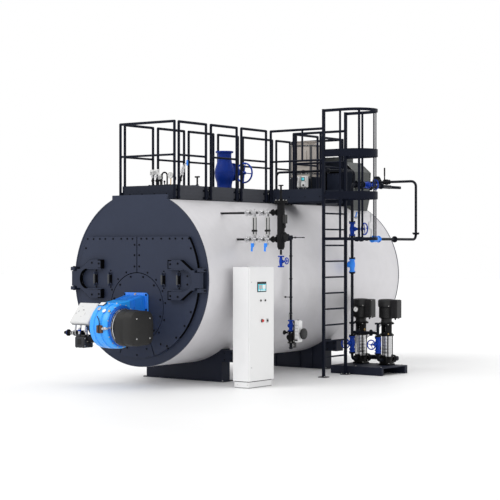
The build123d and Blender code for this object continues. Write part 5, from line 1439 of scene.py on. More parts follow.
p.cyl(V(1.340, TS, 0.722), V(1.268, TS, 0.722), 0.0155, CBK, 18)
p.lathe(V(1.272, TS, 0.722), -X, [(0, 0.016), (0.004, 0.030), (0.012, 0.034), (0.026, 0.034), (0.030, 0.028), (0.032, 0.0)], M["rubber"], 26)
p.lathe(V(1.376, TS, 0.470), Z, [(0, 0.018), (0.0, 0.0235), (0.08, 0.0235), (0.092, 0.030)], PI, 24)
p.ringd(V(1.376, TS, 0.482), V(1.376, TS, 0.496), 0.033, 0.02, PI, 24)
# bracket bar, actuator with ribs, round cover
p.box(1.438, 1.460, V(0, TS - 0.030, 0).y, V(0, TS + 0.030, 0).y, 0.492, 0.905, M["motor"], 0.004)
for z in (0.53, 0.60, 0.86):
    for ds in (-0.016, 0.016):
        p.hexa(V(1.449, TS - 0.030 if ds < 0 else TS + 0.030, z), Yd * (-1 if ds < 0 else 1), 0.007, 0.006, ZN)
p.cyl(V(1.376, TS, 0.700), V(1.476, TS, 0.700), 0.026, CBK, 24)
p.box(1.4755, 1.5450, V(0, TS - 0.050, 0).y, V(0, TS + 0.050, 0).y, 0.580, 0.915, M["white_side"], 0.010)
p.box(1.5440, 1.5595, V(0, TS - 0.045, 0).y, V(0, TS + 0.045, 0).y, 0.590, 0.905, M["white_side"], 0.006)
for k in range(5):
    p.box(1.4785, 1.5420, V(0, TS - 0.0530, 0).y, V(0, TS - 0.045, 0).y, 0.640 + 0.050 * k, 0.648 + 0.050 * k, M["lightgrey"], 0.002)
p.box(1.486, 1.536, V(0, TS - 0.0525, 0).y, V(0, TS - 0.048, 0).y, 0.602, 0.628, M["ink"], 0.001)
p.lathe(V(1.558, TS, 0.714), X, [(0, 0.029), (0.010, 0.029), (0.012, 0.021), (0.044, 0.021)], CBK, 28)
p.lathe(V(1.600, TS, 0.714), X, [(0, 0.020), (0.0, 0.080), (0.003, 0.0845), (0.026, 0.0845), (0.036, 0.070), (0.0395, 0.040), (0.0398, 0.0)], M["motor"], 44)
for k in range(4):
    a = tau * k / 4 + 0.785
    p.hexa(V(1.600, TS + 0.066 * math.cos(a), 0.714 + 0.066 * math.sin(a)), -X, 0.007, 0.005, ZN, washer=False)
p.lathe(V(1.512, TS, 0.914), Z, [(0, 0.018), (0.004, 0.018), (0.007, 0.012), (0.0105, 0.012), (0.0108, 0.0)], M["rubber"], 18)
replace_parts(p.done(), "sample_line")

# ------------------------------------------------------------------ feed piping
FX, FS, PX2 = 1.442, 3.600, 1.930
p = Piece("feed_piping")
p.tube([V(FX, 3.748, 0.215), V(FX, FS, 0.215), V(FX, FS, 3.060), V(FX, 4.860, 3.060), V(0.741, 4.860, 3.060)], 0.0238, PI, 0.070, 24, 10)
for z in (0.321, 0.804, 1.621, 1.8535, 0.5985):
    p.flange_pair(V(FX, FS, z), Z, 0.0515, 0.0090 if z != 1.621 else 0.009, 4, PI, 0.0072, 0.002, BK)
for z0, z1 in ((0.333, 0.587),):
    gate_valve(p, V(FX, FS, 0.478), Z, -Yd, 0.218, 0.0515, 0.045, 0.200, M["dblue"], 0.0072)
    p.lathe(V(FX, FS, z0), Z, [(0, 0.030), (0, 0.0515), (0.010, 0.0515), (0.012, 0.040), (0.036, 0.040)], M["dblue"], 32)
gate_valve(p, V(FX, FS, 2.330), Z, X, 0.214, 0.0515, 0.040, 0.236, M["dblue"], 0.0075)
for z, d in ((2.214, 1), (2.446, -1)):
    p.lathe(V(FX, FS, z - 0.008), Z, [(0, 0.024), (0.0, 0.0515), (0.016, 0.0515), (0.016, 0.024)], PI, 32)
    p.bolts(V(FX, FS, z - 0.008 * d), -Z * d, 0.041, 4, 0.0075, 0.009, BK, 0.8)
p.cyl(V(FX + 0.10, FS, 2.330), V(FX + 0.2345, FS, 2.330), 0.0088, M["steel"], 16)
p.cyl(V(FX, FS - 0.08, 0.478), V(FX, FS - 0.1995, 0.478), 0.0078, M["steel"], 16)
for sg in (-1, 1):
    p.bar(V(FX + 0.075, FS + sg * 0.022, 2.330), V(FX + 0.150, FS + sg * 0.014, 2.330), 0.012, 0.010, M["dblue"], 0.003)
    p.bar(V(FX + sg * 0.020, FS - 0.075, 0.478), V(FX + sg * 0.013, FS - 0.150, 0.478), 0.010, 0.010, M["dblue"], 0.003)
p.lathe(V(FX + 0.142, FS, 2.330), X, [(0, 0.020), (0.012, 0.018), (0.014, 0.012)], M["dblue"], 20)
p.lathe(V(FX, FS - 0.142, 0.478), -Yd, [(0, 0.018), (0.010, 0.016), (0.012, 0.010)], M["dblue"], 20)
# upper valve and its flanges
gate_valve(p, V(FX, 4.004, 3.060), Yd, X, 0.170, 0.060, 0.044, 0.194, M["dblue"], 0.008)
p.cyl(V(FX + 0.09, 4.004, 3.060), V(FX + 0.1935, 4.004, 3.060), 0.0078, M["steel"], 16)
for sg in (-1, 1):
    p.bar(V(FX + 0.070, 4.004, 3.060 + sg * 0.022), V(FX + 0.135, 4.004, 3.060 + sg * 0.014), 0.012, 0.010, M["dblue"], 0.003)
p.lathe(V(FX + 0.128, 4.004, 3.060), X, [(0, 0.020), (0.012, 0.018), (0.014, 0.012)], M["dblue"], 20)
for s, d in ((3.910, 1), (4.098, -1)):
    p.lathe(V(FX, s - 0.0085, 3.060), Yd, [(0, 0.024), (0.0, 0.060), (0.017, 0.060), (0.017, 0.024)], PI, 36)
    p.bolts(V(FX, s - 0.0085 * d, 3.060), -Yd * d, 0.048, 4, 0.008, 0.010, BK, 0.8)
p.flange_pair(V(FX, 3.7175, 3.060), Yd, 0.0610, 0.0155, 6, PI, 0.008, 0.002, BK)
p.flange_pair(V(FX, 4.500, 3.060), Yd, 0.0520, 0.011, 4, PI, 0.007, 0.002, BK)
p.flange_pair(V(1.020, 4.860, 3.060), X, 0.0520, 0.011, 4, PI, 0.007, 0.002, BK)
# non-return branch on the riser
for z in (1.15, 1.40, 2.05, 2.70):
    p.lathe(V(FX, FS, z - 0.008), Z, [(0, 0.024), (0.002, 0.0262), (0.014, 0.0262), (0.016, 0.024)], PI, 24)
p.tube([V(FX, FS, 1.028), V(FX + 0.088, FS, 1.028)], 0.0085, M["steel"], 0.02, 14)
p.lathe(V(FX + 0.030, FS, 1.028), X, [(0, 0.010), (0.003, 0.014), (0.018, 0.014), (0.021, 0.010)], M["brass"], 6)
p.cyl(V(FX + 0.088, FS + 0.010, 1.028), V(FX + 0.088, FS - 0.012, 1.028), 0.012, M["steel"], 16)
p.dial(V(FX + 0.088, FS - 0.010, 1.028), -Yd, 0.046, 0.026, ring="ink")
# light-blue lever cock on the riser above the feed valve
p.cyl(V(FX + 0.02, FS, 2.520), V(FX + 0.100, FS, 2.520), 0.011, M["steel"], 16)
p.lathe(V(FX + 0.060, FS, 2.520), X, [(0, 0.012), (0.004, 0.022), (0.040, 0.022), (0.044, 0.012), (0.09, 0.011)], M["steel"], 18)
p.bar(V(FX + 0.080, FS - 0.024, 2.520), V(FX + 0.110, FS - 0.030, 2.606), 0.020, 0.006, M["lblue"], 0.002, up=Yd)
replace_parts(p.done(), "feed_riser")

p = Piece("check_valve_body")
LB = M["lblue"]
p.lathe(V(FX, FS, 1.6325), Z, [(0, 0.0245), (0.0, 0.0490), (0.002, 0.0510), (0.015, 0.0510), (0.017, 0.040), (0.050, 0.038), (0.090, 0.047), (0.135, 0.050), (0.170, 0.042), (0.190, 0.038),
        (0.193, 0.0510), (0.208, 0.0510), (0.210, 0.0490), (0.210, 0.0245)], LB, 36, closed=True)
p.lathe(V(FX - 0.020, FS, 1.745), (Vector((-1, 0, 0.25))).normalized(), [(0, 0.046), (0.034, 0.045), (0.036, 0.052), (0.050, 0.052), (0.052, 0.050), (0.060, 0.040), (0.068, 0.022), (0.070, 0.0)], LB, 36)
p.bolts(V(FX - 0.020, FS, 1.745) + Vector((-1, 0, 0.25)).normalized() * 0.050, Vector((-1, 0, 0.25)).normalized(), 0.043, 6, 0.007, 0.009, BK, 0.3)
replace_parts(p.done(), "feed_check_valve")

p = Piece("feed_wheel", "feed_handwheel")
p.wheel(V(FX + 0.235, FS, 2.330), X, 0.0925, 0.0110, 0.0190, 0.033, 4, M["dblue"])
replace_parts(p.done(), "feed_handwheel")
p = Piece("economizer_wheel", "economizer_handwheel")
p.wheel(V(FX + 0.196, 4.004, 3.060), X, 0.0810, 0.0100, 0.0170, 0.029, 4, M["dblue"])
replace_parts(p.done(), "economizer_handwheel")
for nm, px in (("left", FX), ("right", PX2)):
    p = Piece("pump_wheel_" + nm, "pump_handwheel_" + nm)
    p.wheel(V(px, FS - 0.200, 0.478), Yd, 0.0740, 0.0098, 0.0160, 0.027, 3, M["dblue"])
    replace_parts(p.done(), "pump_handwheel_" + nm)

# ------------------------------------------------------------------ economizer loop
p = Piece("economizer_piping")
p.tube([V(0.741, 5.000, 3.150), V(1.824, 5.000, 3.150), V(1.824, 5.000, 2.165), V(1.824, FS, 2.165), V(FX + 0.020, FS, 2.165)], 0.0218, PI, 0.090, 22, 10)
p.flange_pair(V(1.0575, 5.000, 3.150), X, 0.1045, 0.0255, 8, PI, 0.011, 0.004, BK)
p.flange_pair(V(1.824, 5.000, 2.265), Z, 0.0595, 0.0095, 4, PI, 0.008, 0.002, BK)
p.flange_pair(V(1.824, 4.300, 2.165), Yd, 0.0520, 0.0095, 4, PI, 0.007, 0.002, BK)
# lever cock
p.lathe(V(1.190, 5.000, 3.150), X, [(0, 0.024), (0.0, 0.040), (0.014, 0.040), (0.018, 0.034), (0.040, 0.046), (0.060, 0.048), (0.080, 0.046), (0.102, 0.034), (0.106, 0.040), (0.120, 0.040), (0.120, 0.024)], IR, 32)
p.cyl(V(1.250, 4.990, 3.165), V(1.250, 4.925, 3.195), 0.013, IR, 16)
p.cyl(V(1.250, 4.930, 3.182), V(1.250, 4.930, 3.390), 0.0105, M["iron"], 18)
p.lathe(V(1.250, 4.930, 3.250), Z, [(0, 0.0105), (0.004, 0.0130), (0.136, 0.0130), (0.142, 0.0100), (0.1445, 0.0)], M["rubber"], 20)
# drain with tapered socket
p.lathe(V(1.086, 5.000, 3.076), V(1.524, 5.000, 3.045) - V(1.086, 5.000, 3.076), [(0, 0.031), (0.010, 0.0355), (0.060, 0.0350), (0.064, 0.0300), (0.200, 0.0290), (0.204, 0.0310), (0.228, 0.0305), (0.232, 0.0265), (0.42, 0.0242), (0.438, 0.0235)], PI, 24)
p.cyl(V(1.100, 5.000, 3.130), V(1.100, 5.000, 3.076), 0.016, PI, 16)
# blue in-line valve body between its flanges
p.lathe(V(1.824, 3.592, 2.165), Yd, [(0, 0.024), (0, 0.053), (0.002, 0.0555), (0.016, 0.0555), (0.018, 0.042), (0.060, 0.047), (0.104, 0.050), (0.150, 0.047), (0.188, 0.042), (0.190, 0.0555), (0.204, 0.0555), (0.206, 0.053), (0.206, 0.024)], LB, 36)
for s, dd in ((3.610, 1), (3.780, -1)):
    p.bolts(V(1.824, s, 2.165), Yd * dd, 0.046, 4, 0.007, 0.009, BK, 0.78)
p.lathe(V(1.824, 3.695, 2.205), Z, [(0, 0.026), (0.004, 0.026), (0.006, 0.012), (0.012, 0.011), (0.0125, 0.0)], LB, 24)
# union and union nuts on the branch to the riser
p.lathe(V(1.500, FS, 2.165), X, [(0, 0.024), (0.004, 0.036), (0.030, 0.040), (0.050, 0.040), (0.054, 0.030), (0.090, 0.030), (0.094, 0.040), (0.120, 0.040), (0.146, 0.036), (0.150, 0.024)], PI, 30)
p.lathe(V(1.700, FS, 2.165), X, [(0, 0.023), (0.003, 0.032), (0.030, 0.032), (0.033, 0.023)], IR, 6)
# bright siphon with its cock
p.tube([V(1.824, 3.560, 2.180), V(1.838, 3.550, 2.280), V(1.838, 3.550, 2.330), V(1.838, 3.470, 2.330), V(1.838, 3.470, 2.440), V(1.838, 3.535, 2.440), V(1.838, 3.535, 2.570)], 0.0115, M["pale"], 0.030, 16, 8)
p.tube([V(1.824, 3.600, 2.165), V(1.824, 3.560, 2.165), V(1.824, 3.560, 2.200)], 0.015, PI, 0.015, 14)
p.lathe(V(1.838, 3.535, 2.520), Z, [(0, 0.012), (0.003, 0.018), (0.028, 0.018), (0.031, 0.012), (0.055, 0.0118)], M["pale"], 6)
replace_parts(p.done(), "economizer_loop")

p = Piece("crossover_piping")
VS = 3.256
p.tube([V(0.174, VS, 2.8155), V(0.174, VS, 3.272), V(FX, VS, 3.272), V(FX, 3.660, 3.272), V(FX, 3.660, 3.083)], 0.0198, PI, 0.070, 22, 10)
p.lathe(V(0.174, VS, 2.8155), Z, [(0, 0.044), (0.010, 0.044), (0.012, 0.028), (0.020, 0.021)], PI, 28)
p.flange_pair(V(0.174, VS, 2.985), Z, 0.046, 0.009, 4, PI, 0.007, 0.002, BK)
p.flange_pair(V(1.20, VS, 3.272), X, 0.046, 0.009, 4, PI, 0.007, 0.002, BK)
p.lathe(V(0.70, VS, 3.272), X, [(0, 0.020), (0.003, 0.029), (0.030, 0.029), (0.033, 0.020)], PI, 6)
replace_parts(p.done(), "crossover_pipe")

# ------------------------------------------------------------------ pumps
PS = 3.868
for nm, px in (("left", FX), ("right", PX2)):
    p = Piece("pump_body_" + nm)
    p.box(px - 0.1045, px + 0.1045, V(0, PS - 0.0945, 0).y, V(0, PS + 0.0945, 0).y, 0.1305, 0.152, CBK, 0.006)
    for dx in (-0.085, 0.085):
        for ds in (-0.075, 0.075):
            p.hexa(V(px + dx, PS + ds, 0.152), Z, 0.010, 0.011, ZN)
    p.lathe(V(px, PS, 0.150), Z, [(0, 0.092), (0.006, 0.088), (0.040, 0.080), (0.065, 0.080), (0.088, 0.086), (0.094, 0.098), (0.112, 0.0995), (0.112, 0.05)], CBK, 48)
    p.lathe(V(px, PS - 0.1225, 0.215), Yd, [(0, 0.022), (0, 0.070), (0.002, 0.072), (0.017, 0.072), (0.019, 0.042), (0.050, 0.046), (0.123, 0.050), (0.227, 0.046), (0.256, 0.042),
            (0.258, 0.072), (0.275, 0.072), (0.277, 0.070), (0.277, 0.022)], CBK, 40)
    for d, sg in ((-0.1045, -1), (0.1355, 1)):
        p.bolts(V(px, PS + d, 0.215), -Yd * sg, 0.058, 4, 0.009, 0.010, ZN, 0.785)
    # sleeve: stainless tube with stage rings, tie rods with nuts
    SS = M["stainless"]
    prof = [(0, 0.077)]
    for k in range(6):
        z = 0.004 + k * 0.0555
        prof += [(z + 0.0005, 0.0778), (z + 0.050, 0.0778), (z + 0.0515, 0.0764), (z + 0.054, 0.0764)]
    prof += [(0.337, 0.077)]
    p.lathe(V(px, PS, 0.262), Z, prof, SS, 56)
    for k in range(4):
        a = math.radians(45 + 90 * k)
        c = V(px + 0.096 * math.cos(a), PS + 0.096 * math.sin(a), 0.256)
        p.cyl(c, c + Z * 0.348, 0.0088, M["iron"], 14)
        p.hexa(V(c.x, 0, 0.0) + Vector((0, c.y - V(0, 0, 0).y, 0.625)), Z, 0.012, 0.012, ZN)
        p.cyl(V(c.x, 0, 0) + Vector((0, c.y - V(0, 0, 0).y, 0.60)), V(c.x, 0, 0) + Vector((0, c.y - V(0, 0, 0).y, 0.645)), 0.0065, ZN, 12)
    # pump head and motor stool with its two windows
    p.lathe(V(px, PS, 0.598), Z, [(0, 0.085), (0.0, 0.116), (0.002, 0.118), (0.025, 0.118), (0.027, 0.116), (0.030, 0.092), (0.045, 0.086), (0.060, 0.085)], CBK, 48)
    for a0, a1 in ((20, 160), (200, 340)):
        n = 18
        vs, fs = [], []
        for i in range(n + 1):
            a = math.radians(a0 + 90 + (a1 - a0) * i / n)
            for r in (0.076, 0.086):
                for z in (0.655, 0.770):
                    vs.append(Vector((px + r * math.cos(a), PS + FRONT + r * math.sin(a), z)))
        for i in range(n):
            b, c = i * 4, i * 4 + 4
            fs += [[b, b + 1, c + 1, c], [b + 2, c + 2, c + 3, b + 3]]
        fs += [[0, 2, 3, 1], [n * 4, n * 4 + 1, n * 4 + 3, n * 4 + 2]]
        p.add(vs, fs, CBK)
    p.lathe(V(px, PS, 0.655), Z, [(0, 0.030), (0.03, 0.030), (0.032, 0.036), (0.085, 0.036), (0.087, 0.024), (0.115, 0.024)], M["steel"], 28)
    p.lathe(V(px, PS, 0.768), Z, [(0, 0.080), (0.004, 0.087), (0.020, 0.092), (0.022, 0.122), (0.024, 0.1245), (0.042, 0.1245), (0.044, 0.122)], CBK, 48)
    p.bolts(V(px, PS, 0.790), -Z, 0.108, 4, 0.010, 0.010, ZN, 0.785)
    p.lathe(V(px + 0.075, PS - 0.070, 0.625), Z, [(0, 0.012), (0.010, 0.012), (0.012, 0.008), (0.018, 0.008), (0.018, 0)], M["brass"], 14)
    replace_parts(p.done(), "pump_stage_" + nm)

    p = Piece("motor_" + nm)
    MB = M["motor"]
    p.lathe(V(px, PS, 0.8125), Z, [(0, 0.040), (0, 0.100), (0.003, 0.104), (0.012, 0.104), (0.016, 0.088), (0.050, 0.086), (0.062, 0.092), (0.0755, 0.110)], MB, 48)
    p.lathe(V(px, PS, 0.888), Z, [(0, 0.060), (0.0, 0.110), (0.002, 0.1120), (0.169, 0.1120), (0.171, 0.110)], MB, 48)
    for k in range(40):
        a = tau * k / 40
        if -0.45 < math.sin(a) < 0.45 and math.cos(a) > 0:
            continue
        d = Vector((math.cos(a), math.sin(a), 0))
        p.bar(V(px, PS, 0.894) + d * 0.1165, V(px, PS, 1.058) + d * 0.1165, 0.0035, 0.0125, MB, 0.0008, up=d)
    # fan cover with rounded top and grille rings
    p.lathe(V(px, PS, 1.0605), Z, [(0, 0.118), (0.004, 0.121), (0.010, 0.135), (0.014, 0.1375), (0.100, 0.1375), (0.116, 0.134), (0.1265, 0.122), (0.1305, 0.106), (0.1310, 0.0)], MB, 56)
    for r in (0.030, 0.048, 0.066, 0.084):
        p.ringd(V(px, PS, 1.1910), V(px, PS, 1.1928), r + 0.0035, r, M["rubber"], 40)
    for k in range(4):
        a = math.radians(45 + 90 * k)
        d = Vector((math.cos(a), math.sin(a), 0))
        p.hexa(V(px, PS, 1.084) + d * 0.1370, d, 0.007, 0.004, ZN, washer=False)
    # terminal box on the motor side
    p.box(px + 0.096, px + 0.120, V(0, PS - 0.060, 0).y, V(0, PS + 0.060, 0).y, 0.900, 1.175, MB, 0.004)
    p.box(px + 0.116, px + 0.228, V(0, PS - 0.0745, 0).y, V(0, PS + 0.0745, 0).y, 0.887, 1.188, MB, 0.010)
    p.box(px + 0.226, px + 0.2395, V(0, PS - 0.070, 0).y, V(0, PS + 0.070, 0).y, 0.893, 1.182, MB, 0.006)
    for ds in (-0.058, 0.058):
        for z in (0.908, 1.167):
            p.hexa(V(px + 0.2365, PS + ds, z), X, 0.0065, 0.003, ZN, washer=False)
    for k in range(9):
        z = 0.915 + 0.028 * k
        p.box(px + 0.135, px + 0.220, V(0, PS - 0.0765, 0).y, V(0, PS - 0.070, 0).y, z, z + 0.006, MB, 0.001)
    p.lathe(V(px + 0.165, PS, 0.888), -Z, [(0, 0.020), (0.006, 0.020), (0.008, 0.015), (0.026, 0.015), (0.030, 0.009)], M["rubber"], 6)
    p.lathe(V(px + 0.205, PS + 0.03, 0.888), -Z, [(0, 0.014), (0.006, 0.014), (0.008, 0.010), (0.012, 0.0)], M["rubber"], 6)
    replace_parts(p.done(), "pump_motor_" + nm)

p = Piece("pump_manifold_piping")
p.tube([V(PX2, 3.748, 0.215), V(PX2, FS, 0.215), V(PX2, FS, 0.655), V(FX + 0.020, FS, 0.655)], 0.0238, PI, 0.060, 22, 10)
p.cyl(V(PX2, FS, 0.600), V(PX2, FS, 0.802), 0.0238, PI, 22)
for z in (0.321, 0.5985):
    p.flange_pair(V(PX2, FS, z), Z, 0.0515, 0.009, 4, PI, 0.0072, 0.002, BK)
gate_valve(p, V(PX2, FS, 0.478), Z, -Yd, 0.218, 0.0515, 0.045, 0.200, M["dblue"], 0.0072)
p.lathe(V(PX2, FS, 0.333), Z, [(0, 0.030), (0, 0.0515), (0.010, 0.0515), (0.012, 0.040), (0.036, 0.040)], M["dblue"], 32)
p.cyl(V(PX2, FS - 0.08, 0.478), V(PX2, FS - 0.1995, 0.478), 0.0078, M["steel"], 16)
for sg in (-1, 1):
    p.bar(V(PX2 + sg * 0.020, FS - 0.075, 0.478), V(PX2 + sg * 0.013, FS - 0.150, 0.478), 0.010, 0.010, M["dblue"], 0.003)
p.lathe(V(PX2, FS - 0.142, 0.478), -Yd, [(0, 0.018), (0.010, 0.016), (0.012, 0.010)], M["dblue"], 20)
p.lathe(V(PX2, FS, 0.799), Z, [(0, 0.024), (0.0, 0.050), (0.002, 0.0515), (0.010, 0.0515), (0.0105, 0.049), (0.011, 0.0515), (0.0195, 0.0515), (0.0205, 0.0495), (0.0205, 0)], PI, 32)
p.bolts(V(PX2, FS, 0.8195), Z, 0.041, 4, 0.0072, 0.009, ZN, 0.8)
p.bolts(V(PX2, FS, 0.799), -Z, 0.041, 4, 0.0072, 0.009, BK, 0.8)
p.flange_pair(V(1.560, FS, 0.655), X, 0.0515, 0.009, 4, PI, 0.0072, 0.002, BK)
p.flange_pair(V(1.800, FS, 0.655), X, 0.0515, 0.009, 4, PI, 0.0072, 0.002, BK)
p.lathe(V(1.680, FS, 0.680), Z, [(0, 0.009), (0.016, 0.009), (0.018, 0.015), (0.030, 0.015), (0.032, 0.008), (0.044, 0.008), (0.044, 0)], M["brass"], 6)
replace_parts(p.done(), "pump_manifold")

HS, INX = 4.170, 1.600
p = Piece("suction_piping")
p.tube([V(FX, PS + 0.154, 0.215), V(FX, HS - 0.005, 0.215)], 0.0298, PI, 0.05, 22)
p.tube([V(PX2, PS + 0.154, 0.215), V(PX2, HS - 0.005, 0.215)], 0.0298, PI, 0.05, 22)
p.lathe(V(FX - 0.060, HS, 0.215), X, [(0, 0), (0.001, 0.020), (0.008, 0.034), (0.018, 0.0378), (0.560, 0.0378), (0.570, 0.034), (0.577, 0.020), (0.578, 0)], PI, 28)
for px in (FX, PX2):
    p.flange_pair(V(px, 4.078, 0.215), Yd, 0.066, 0.012, 4, PI, 0.009, 0.002, BK)
p.lathe(V(INX, HS, 0.215), Yd, [(0.0, 0.0358), (0.249, 0.0358), (0.250, 0.040), (0.250, 0.080), (0.252, 0.082), (0.2685, 0.082), (0.270, 0.080), (0.270, 0.030), (0.200, 0.030), (0.130, 0.030), (0.130, 0.0)], PI, 44)
for k in range(4):
    a = math.radians(45 + 90 * k)
    p.ringd(V(INX + 0.062 * math.cos(a), 4.4395, 0.215 + 0.062 * math.sin(a)), V(INX + 0.062 * math.cos(a), 4.4405, 0.215 + 0.062 * math.sin(a)), 0.0085, 0.007, PI, 20)
p.box(INX - 0.019, INX + 0.019, V(0, 4.365, 0).y, V(0, 4.403, 0).y, 0.1605, 0.1835, M["saddle"], 0.003)
p.ringd(V(INX, 4.372, 0.215), V(INX, 4.396, 0.215), 0.0405, 0.0355, M["saddle"], 28)
p.done()

p = Piece("skid_details")
for x in (1.262, 1.688, 2.160):
    for s in (3.32, 3.97):
        p.lathe(V(x, s, 0.130), Z, [(0, 0.018), (0.002, 0.018), (0.0025, 0.010)], M["saddle"], 18)
        p.hexa(V(x, s, 0.132), Z, 0.010, 0.009, ZN)
for x0 in (1.30, 1.60, 1.90):
    for z in (0.020, 0.100):
        p.box(x0, x0 + 0.24, V(0, 3.2885, 0).y, V(0, 3.291, 0).y, z - 0.006, z + 0.006, M["saddle"], 0.0005)
# rails of the base frame: web shadow lines and corner plates
for x in (1.232, 2.188):
    p.box(x - 0.0015, x + 0.0015, V(0, 3.2885, 0).y, V(0, 3.291, 0).y, 0.0, 0.112, M["saddle"], 0.0005)
p.box(1.232, 2.188, V(0, 3.2885, 0).y, V(0, 3.291, 0).y, 0.0, 0.012, M["saddle"], 0.0005)
p.done()

# ------------------------------------------------------------------ control cabinet
p = Piece("cabinet_door_panel", "cabinet_door")
XD = 1.700
# frame of the display, glass, soft keys
p.box(XD - 0.002, XD + 0.007, V(0, 0.641, 0).y, V(0, 0.860, 0).y, 1.385, 1.533, M["ink"], 0.004)
p.box(XD + 0.005, XD + 0.0085, V(0, 0.655, 0).y, V(0, 0.846, 0).y, 1.399, 1.519, M["screen"], 0.001)
p.box(XD + 0.0070, XD + 0.0095, V(0, 0.655, 0).y, V(0, 0.846, 0).y, 1.500, 1.519, M["ink"], 0.0008)
for k in range(4):
    s = 0.668 + 0.044 * k
    p.box(XD + 0.0080, XD + 0.0095, V(0, s, 0).y, V(0, s + 0.032, 0).y, 1.404, 1.418, M["dial"], 0.0005)
p.box(XD + 0.0080, XD + 0.0095, V(0, 0.670, 0).y, V(0, 0.752, 0).y, 1.430, 1.488, M["lightgrey"], 0.0005)
p.box(XD + 0.0080, XD + 0.0095, V(0, 0.764, 0).y, V(0, 0.836, 0).y, 1.430, 1.488, M["dial"], 0.0005)
for s, z, mat in ((0.724, 1.262, "ink"), (0.833, 1.262, "ink")):
    p.lathe(V(XD, s, z), X, [(0, 0.0185), (0.004, 0.0185), (0.006, 0.016)], M["zinc"], 28)
    p.lathe(V(XD + 0.006, s, z), X, [(0, 0.015), (0.006, 0.015), (0.008, 0.012), (0.008, 0.0)], M[mat], 24)
    p.bar(V(XD + 0.016, s, z - 0.012), V(XD + 0.016, s, z + 0.012), 0.007, 0.008, M[mat], 0.002, up=X)
p.lathe(V(XD, 0.759, 0.967), X, [(0, 0.026), (0.003, 0.026), (0.005, 0.022)], M["ink"], 28)
p.lathe(V(XD + 0.005, 0.759, 0.967), X, [(0, 0.012), (0.010, 0.012), (0.012, 0.020), (0.018, 0.0215), (0.024, 0.018), (0.027, 0.008), (0.0275, 0.0)], M["red"], 28)
p.box(XD, XD + 0.004, V(0, 0.865, 0).y, V(0, 0.915, 0).y, 0.935, 0.995, M["lightgrey"], 0.002)
p.lathe(V(XD + 0.004, 0.890, 0.965), X, [(0, 0.015), (0.010, 0.014), (0.012, 0.011)], M["ink"], 24)
p.bar(V(XD + 0.019, 0.890, 0.951), V(XD + 0.019, 0.890, 0.979), 0.008, 0.007, M["ink"], 0.002, up=X)
# quarter-turn locks near the free edge, folded edge of the leaf
for z in (0.30, 1.53):
    p.lathe(V(XD, 0.502, z), X, [(0, 0.0145), (0.003, 0.0145), (0.0045, 0.012), (0.003, 0.009), (0.003, 0.0)], M["white"], 24)
    p.box(XD + 0.003, XD + 0.005, V(0, 0.499, 0).y, V(0, 0.505, 0).y, z - 0.008, z + 0.008, M["ink"], 0.0005)
p.done()

p = Piece("cabinet_trim")
# hinges on the rear edge, plinth joints, side vents and lifting eyes
for z in (0.30, 0.92, 1.53):
    p.lathe(V(1.678, 1.0575, z - 0.030), Z, [(0, 0.0045), (0.060, 0.0045)], M["zinc"], 14)
for k in range(9):
    z = 0.36 + 0.020 * k
    p.box(1.500, 1.615, V(0, 0.4565, 0).y, V(0, 0.4605, 0).y, z, z + 0.006, M["white_side"], 0.001)
for x in (1.50, 1.615):
    for s in (0.52, 0.99):
        p.lathe(V(x, s, 1.7475), Z, [(0, 0.011), (0.003, 0.011), (0.005, 0.007), (0.005, 0)], M["zinc"], 18)
p.box(1.4135, 1.6715, V(0, 0.4725, 0).y, V(0, 1.0395, 0).y, 0.0, 0.012, M["greyplastic"], 0.002)
p.box(1.4145, 1.6712, V(0, 0.4735, 0).y, V(0, 1.0385, 0).y, 0.088, 0.0995, M["ink"], 0.001)
for x, s in ((1.47, 0.4735), (1.65, 0.4735)):
    p.hexa(V(x, s, 0.05), -Yd, 0.007, 0.005, ZN)
# cable glands under the top edge on the boiler side
for k in range(5):
    p.lathe(V(1.3995, 0.60 + 0.08 * k, 0.22), -X, [(0, 0.014), (0.006, 0.014), (0.008, 0.010), (0.020, 0.010), (0.024, 0.006)], M["greyplastic"], 6)
# components on the mounting plate, seen when the door is open
p.box(1.427, 1.435, V(0, 0.53, 0).y, V(0, 0.98, 0).y, 1.30, 1.335, M["zinc"], 0.001)
p.box(1.427, 1.435, V(0, 0.53, 0).y, V(0, 0.98, 0).y, 0.95, 0.985, M["zinc"], 0.001)
for k in range(7):
    s = 0.545 + 0.058 * k
    p.box(1.433, 1.500 - 0.01 * (k % 2), V(0, s, 0).y, V(0, s + 0.048, 0).y, 1.27, 1.365, M["boxwhite"] if k % 3 else M["greyplastic"], 0.003)
    p.box(1.433, 1.510, V(0, s, 0).y, V(0, s + 0.046, 0).y, 0.92, 1.01, M["motor"] if k % 2 else M["lightgrey"], 0.003)
for z in (0.60, 1.12, 1.50):
    p.box(1.427, 1.475, V(0, 0.515, 0).y, V(0, 0.995, 0).y, z - 0.025, z + 0.025, M["greyplastic"], 0.003)
    for k in range(16):
        p.box(1.473, 1.477, V(0, 0.525 + 0.029 * k, 0).y, V(0, 0.535 + 0.029 * k, 0).y, z - 0.024, z + 0.024, M["greyplastic"], 0.0008)
p.done()

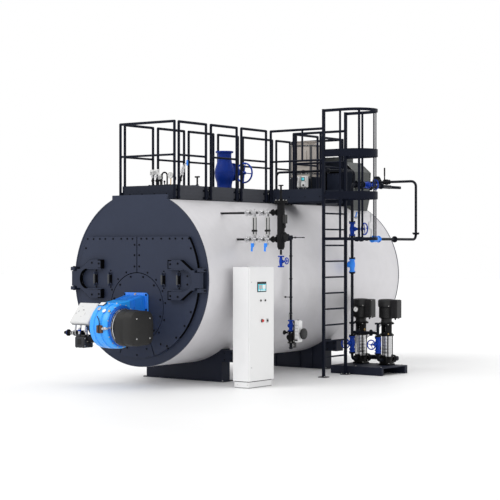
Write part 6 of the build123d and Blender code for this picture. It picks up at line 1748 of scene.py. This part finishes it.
# ------------------------------------------------------------------ rear end
p = Piece("rear_end_details")
EB = 5.328
for k in range(28):
    a = tau * k / 28
    p.hexa(Vector((0.872 * math.cos(a), FRONT + EB + 0.045, AX_Z + 0.872 * math.sin(a))), Yd, 0.014, 0.013, BK)
for k in range(44):
    a = math.radians(-236 + 292 * k / 43)
    p.hexa(Vector((1.268 * math.cos(a), FRONT + EB, AX_Z + 1.268 * math.sin(a))), Yd, 0.011, 0.010, BK)
p.done()

# ------------------------------------------------------------------ floor, light, camera
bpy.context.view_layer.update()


def floor_mat():
    m, nt, bs = new_mat("floor_pale")
    v = coords(nt)
    n = noise(nt, v, 0.35, 3.0, 0.5)
    col = ramp(nt, n, [(0.3, (0.90, 0.90, 0.90)), (0.7, (0.94, 0.94, 0.94))])
    nt.links.new(col, bs.inputs["Base Color"])
    bs.inputs["Roughness"].default_value = 0.55
    return m


me = bpy.data.meshes.new("floor")
me.from_pydata([(-60, -40, 0), (60, -40, 0), (60, 60, 0), (-60, 60, 0)], [], [[0, 1, 2, 3]])
me.materials.append(floor_mat())
floor = bpy.data.objects.new("floor", me)
bpy.context.scene.collection.objects.link(floor)
floor.location.z = -0.0005

w = bpy.data.worlds.new("studio")
bpy.context.scene.world = w
w.use_nodes = True
bgn = w.node_tree.nodes["Background"]
bgn.inputs["Color"].default_value = (1.0, 1.0, 1.0, 1.0)
bgn.inputs["Strength"].default_value = 1.0


sun_d = bpy.data.lights.new("key", "SUN")
sun_d.energy = 0.9
sun_d.angle = math.radians(35)
sun = bpy.data.objects.new("key", sun_d)
bpy.context.scene.collection.objects.link(sun)
sun.rotation_euler = Vector((0.30, 0.62, -0.72)).to_track_quat("-Z", "Y").to_euler()

cam_d = bpy.data.cameras.new("camera")
cam_d.lens = 100.73
cam_d.sensor_width = 36.0
cam_d.clip_end = 200.0
cam = bpy.data.objects.new("camera", cam_d)
bpy.context.scene.collection.objects.link(cam)
cam.location = (13.685, -16.787, 2.043)
cam.rotation_euler = (math.radians(90 - 0.137), 0.0, math.radians(36.63))
bpy.context.scene.camera = cam
bpy.context.scene.view_settings.view_transform = "Standard"
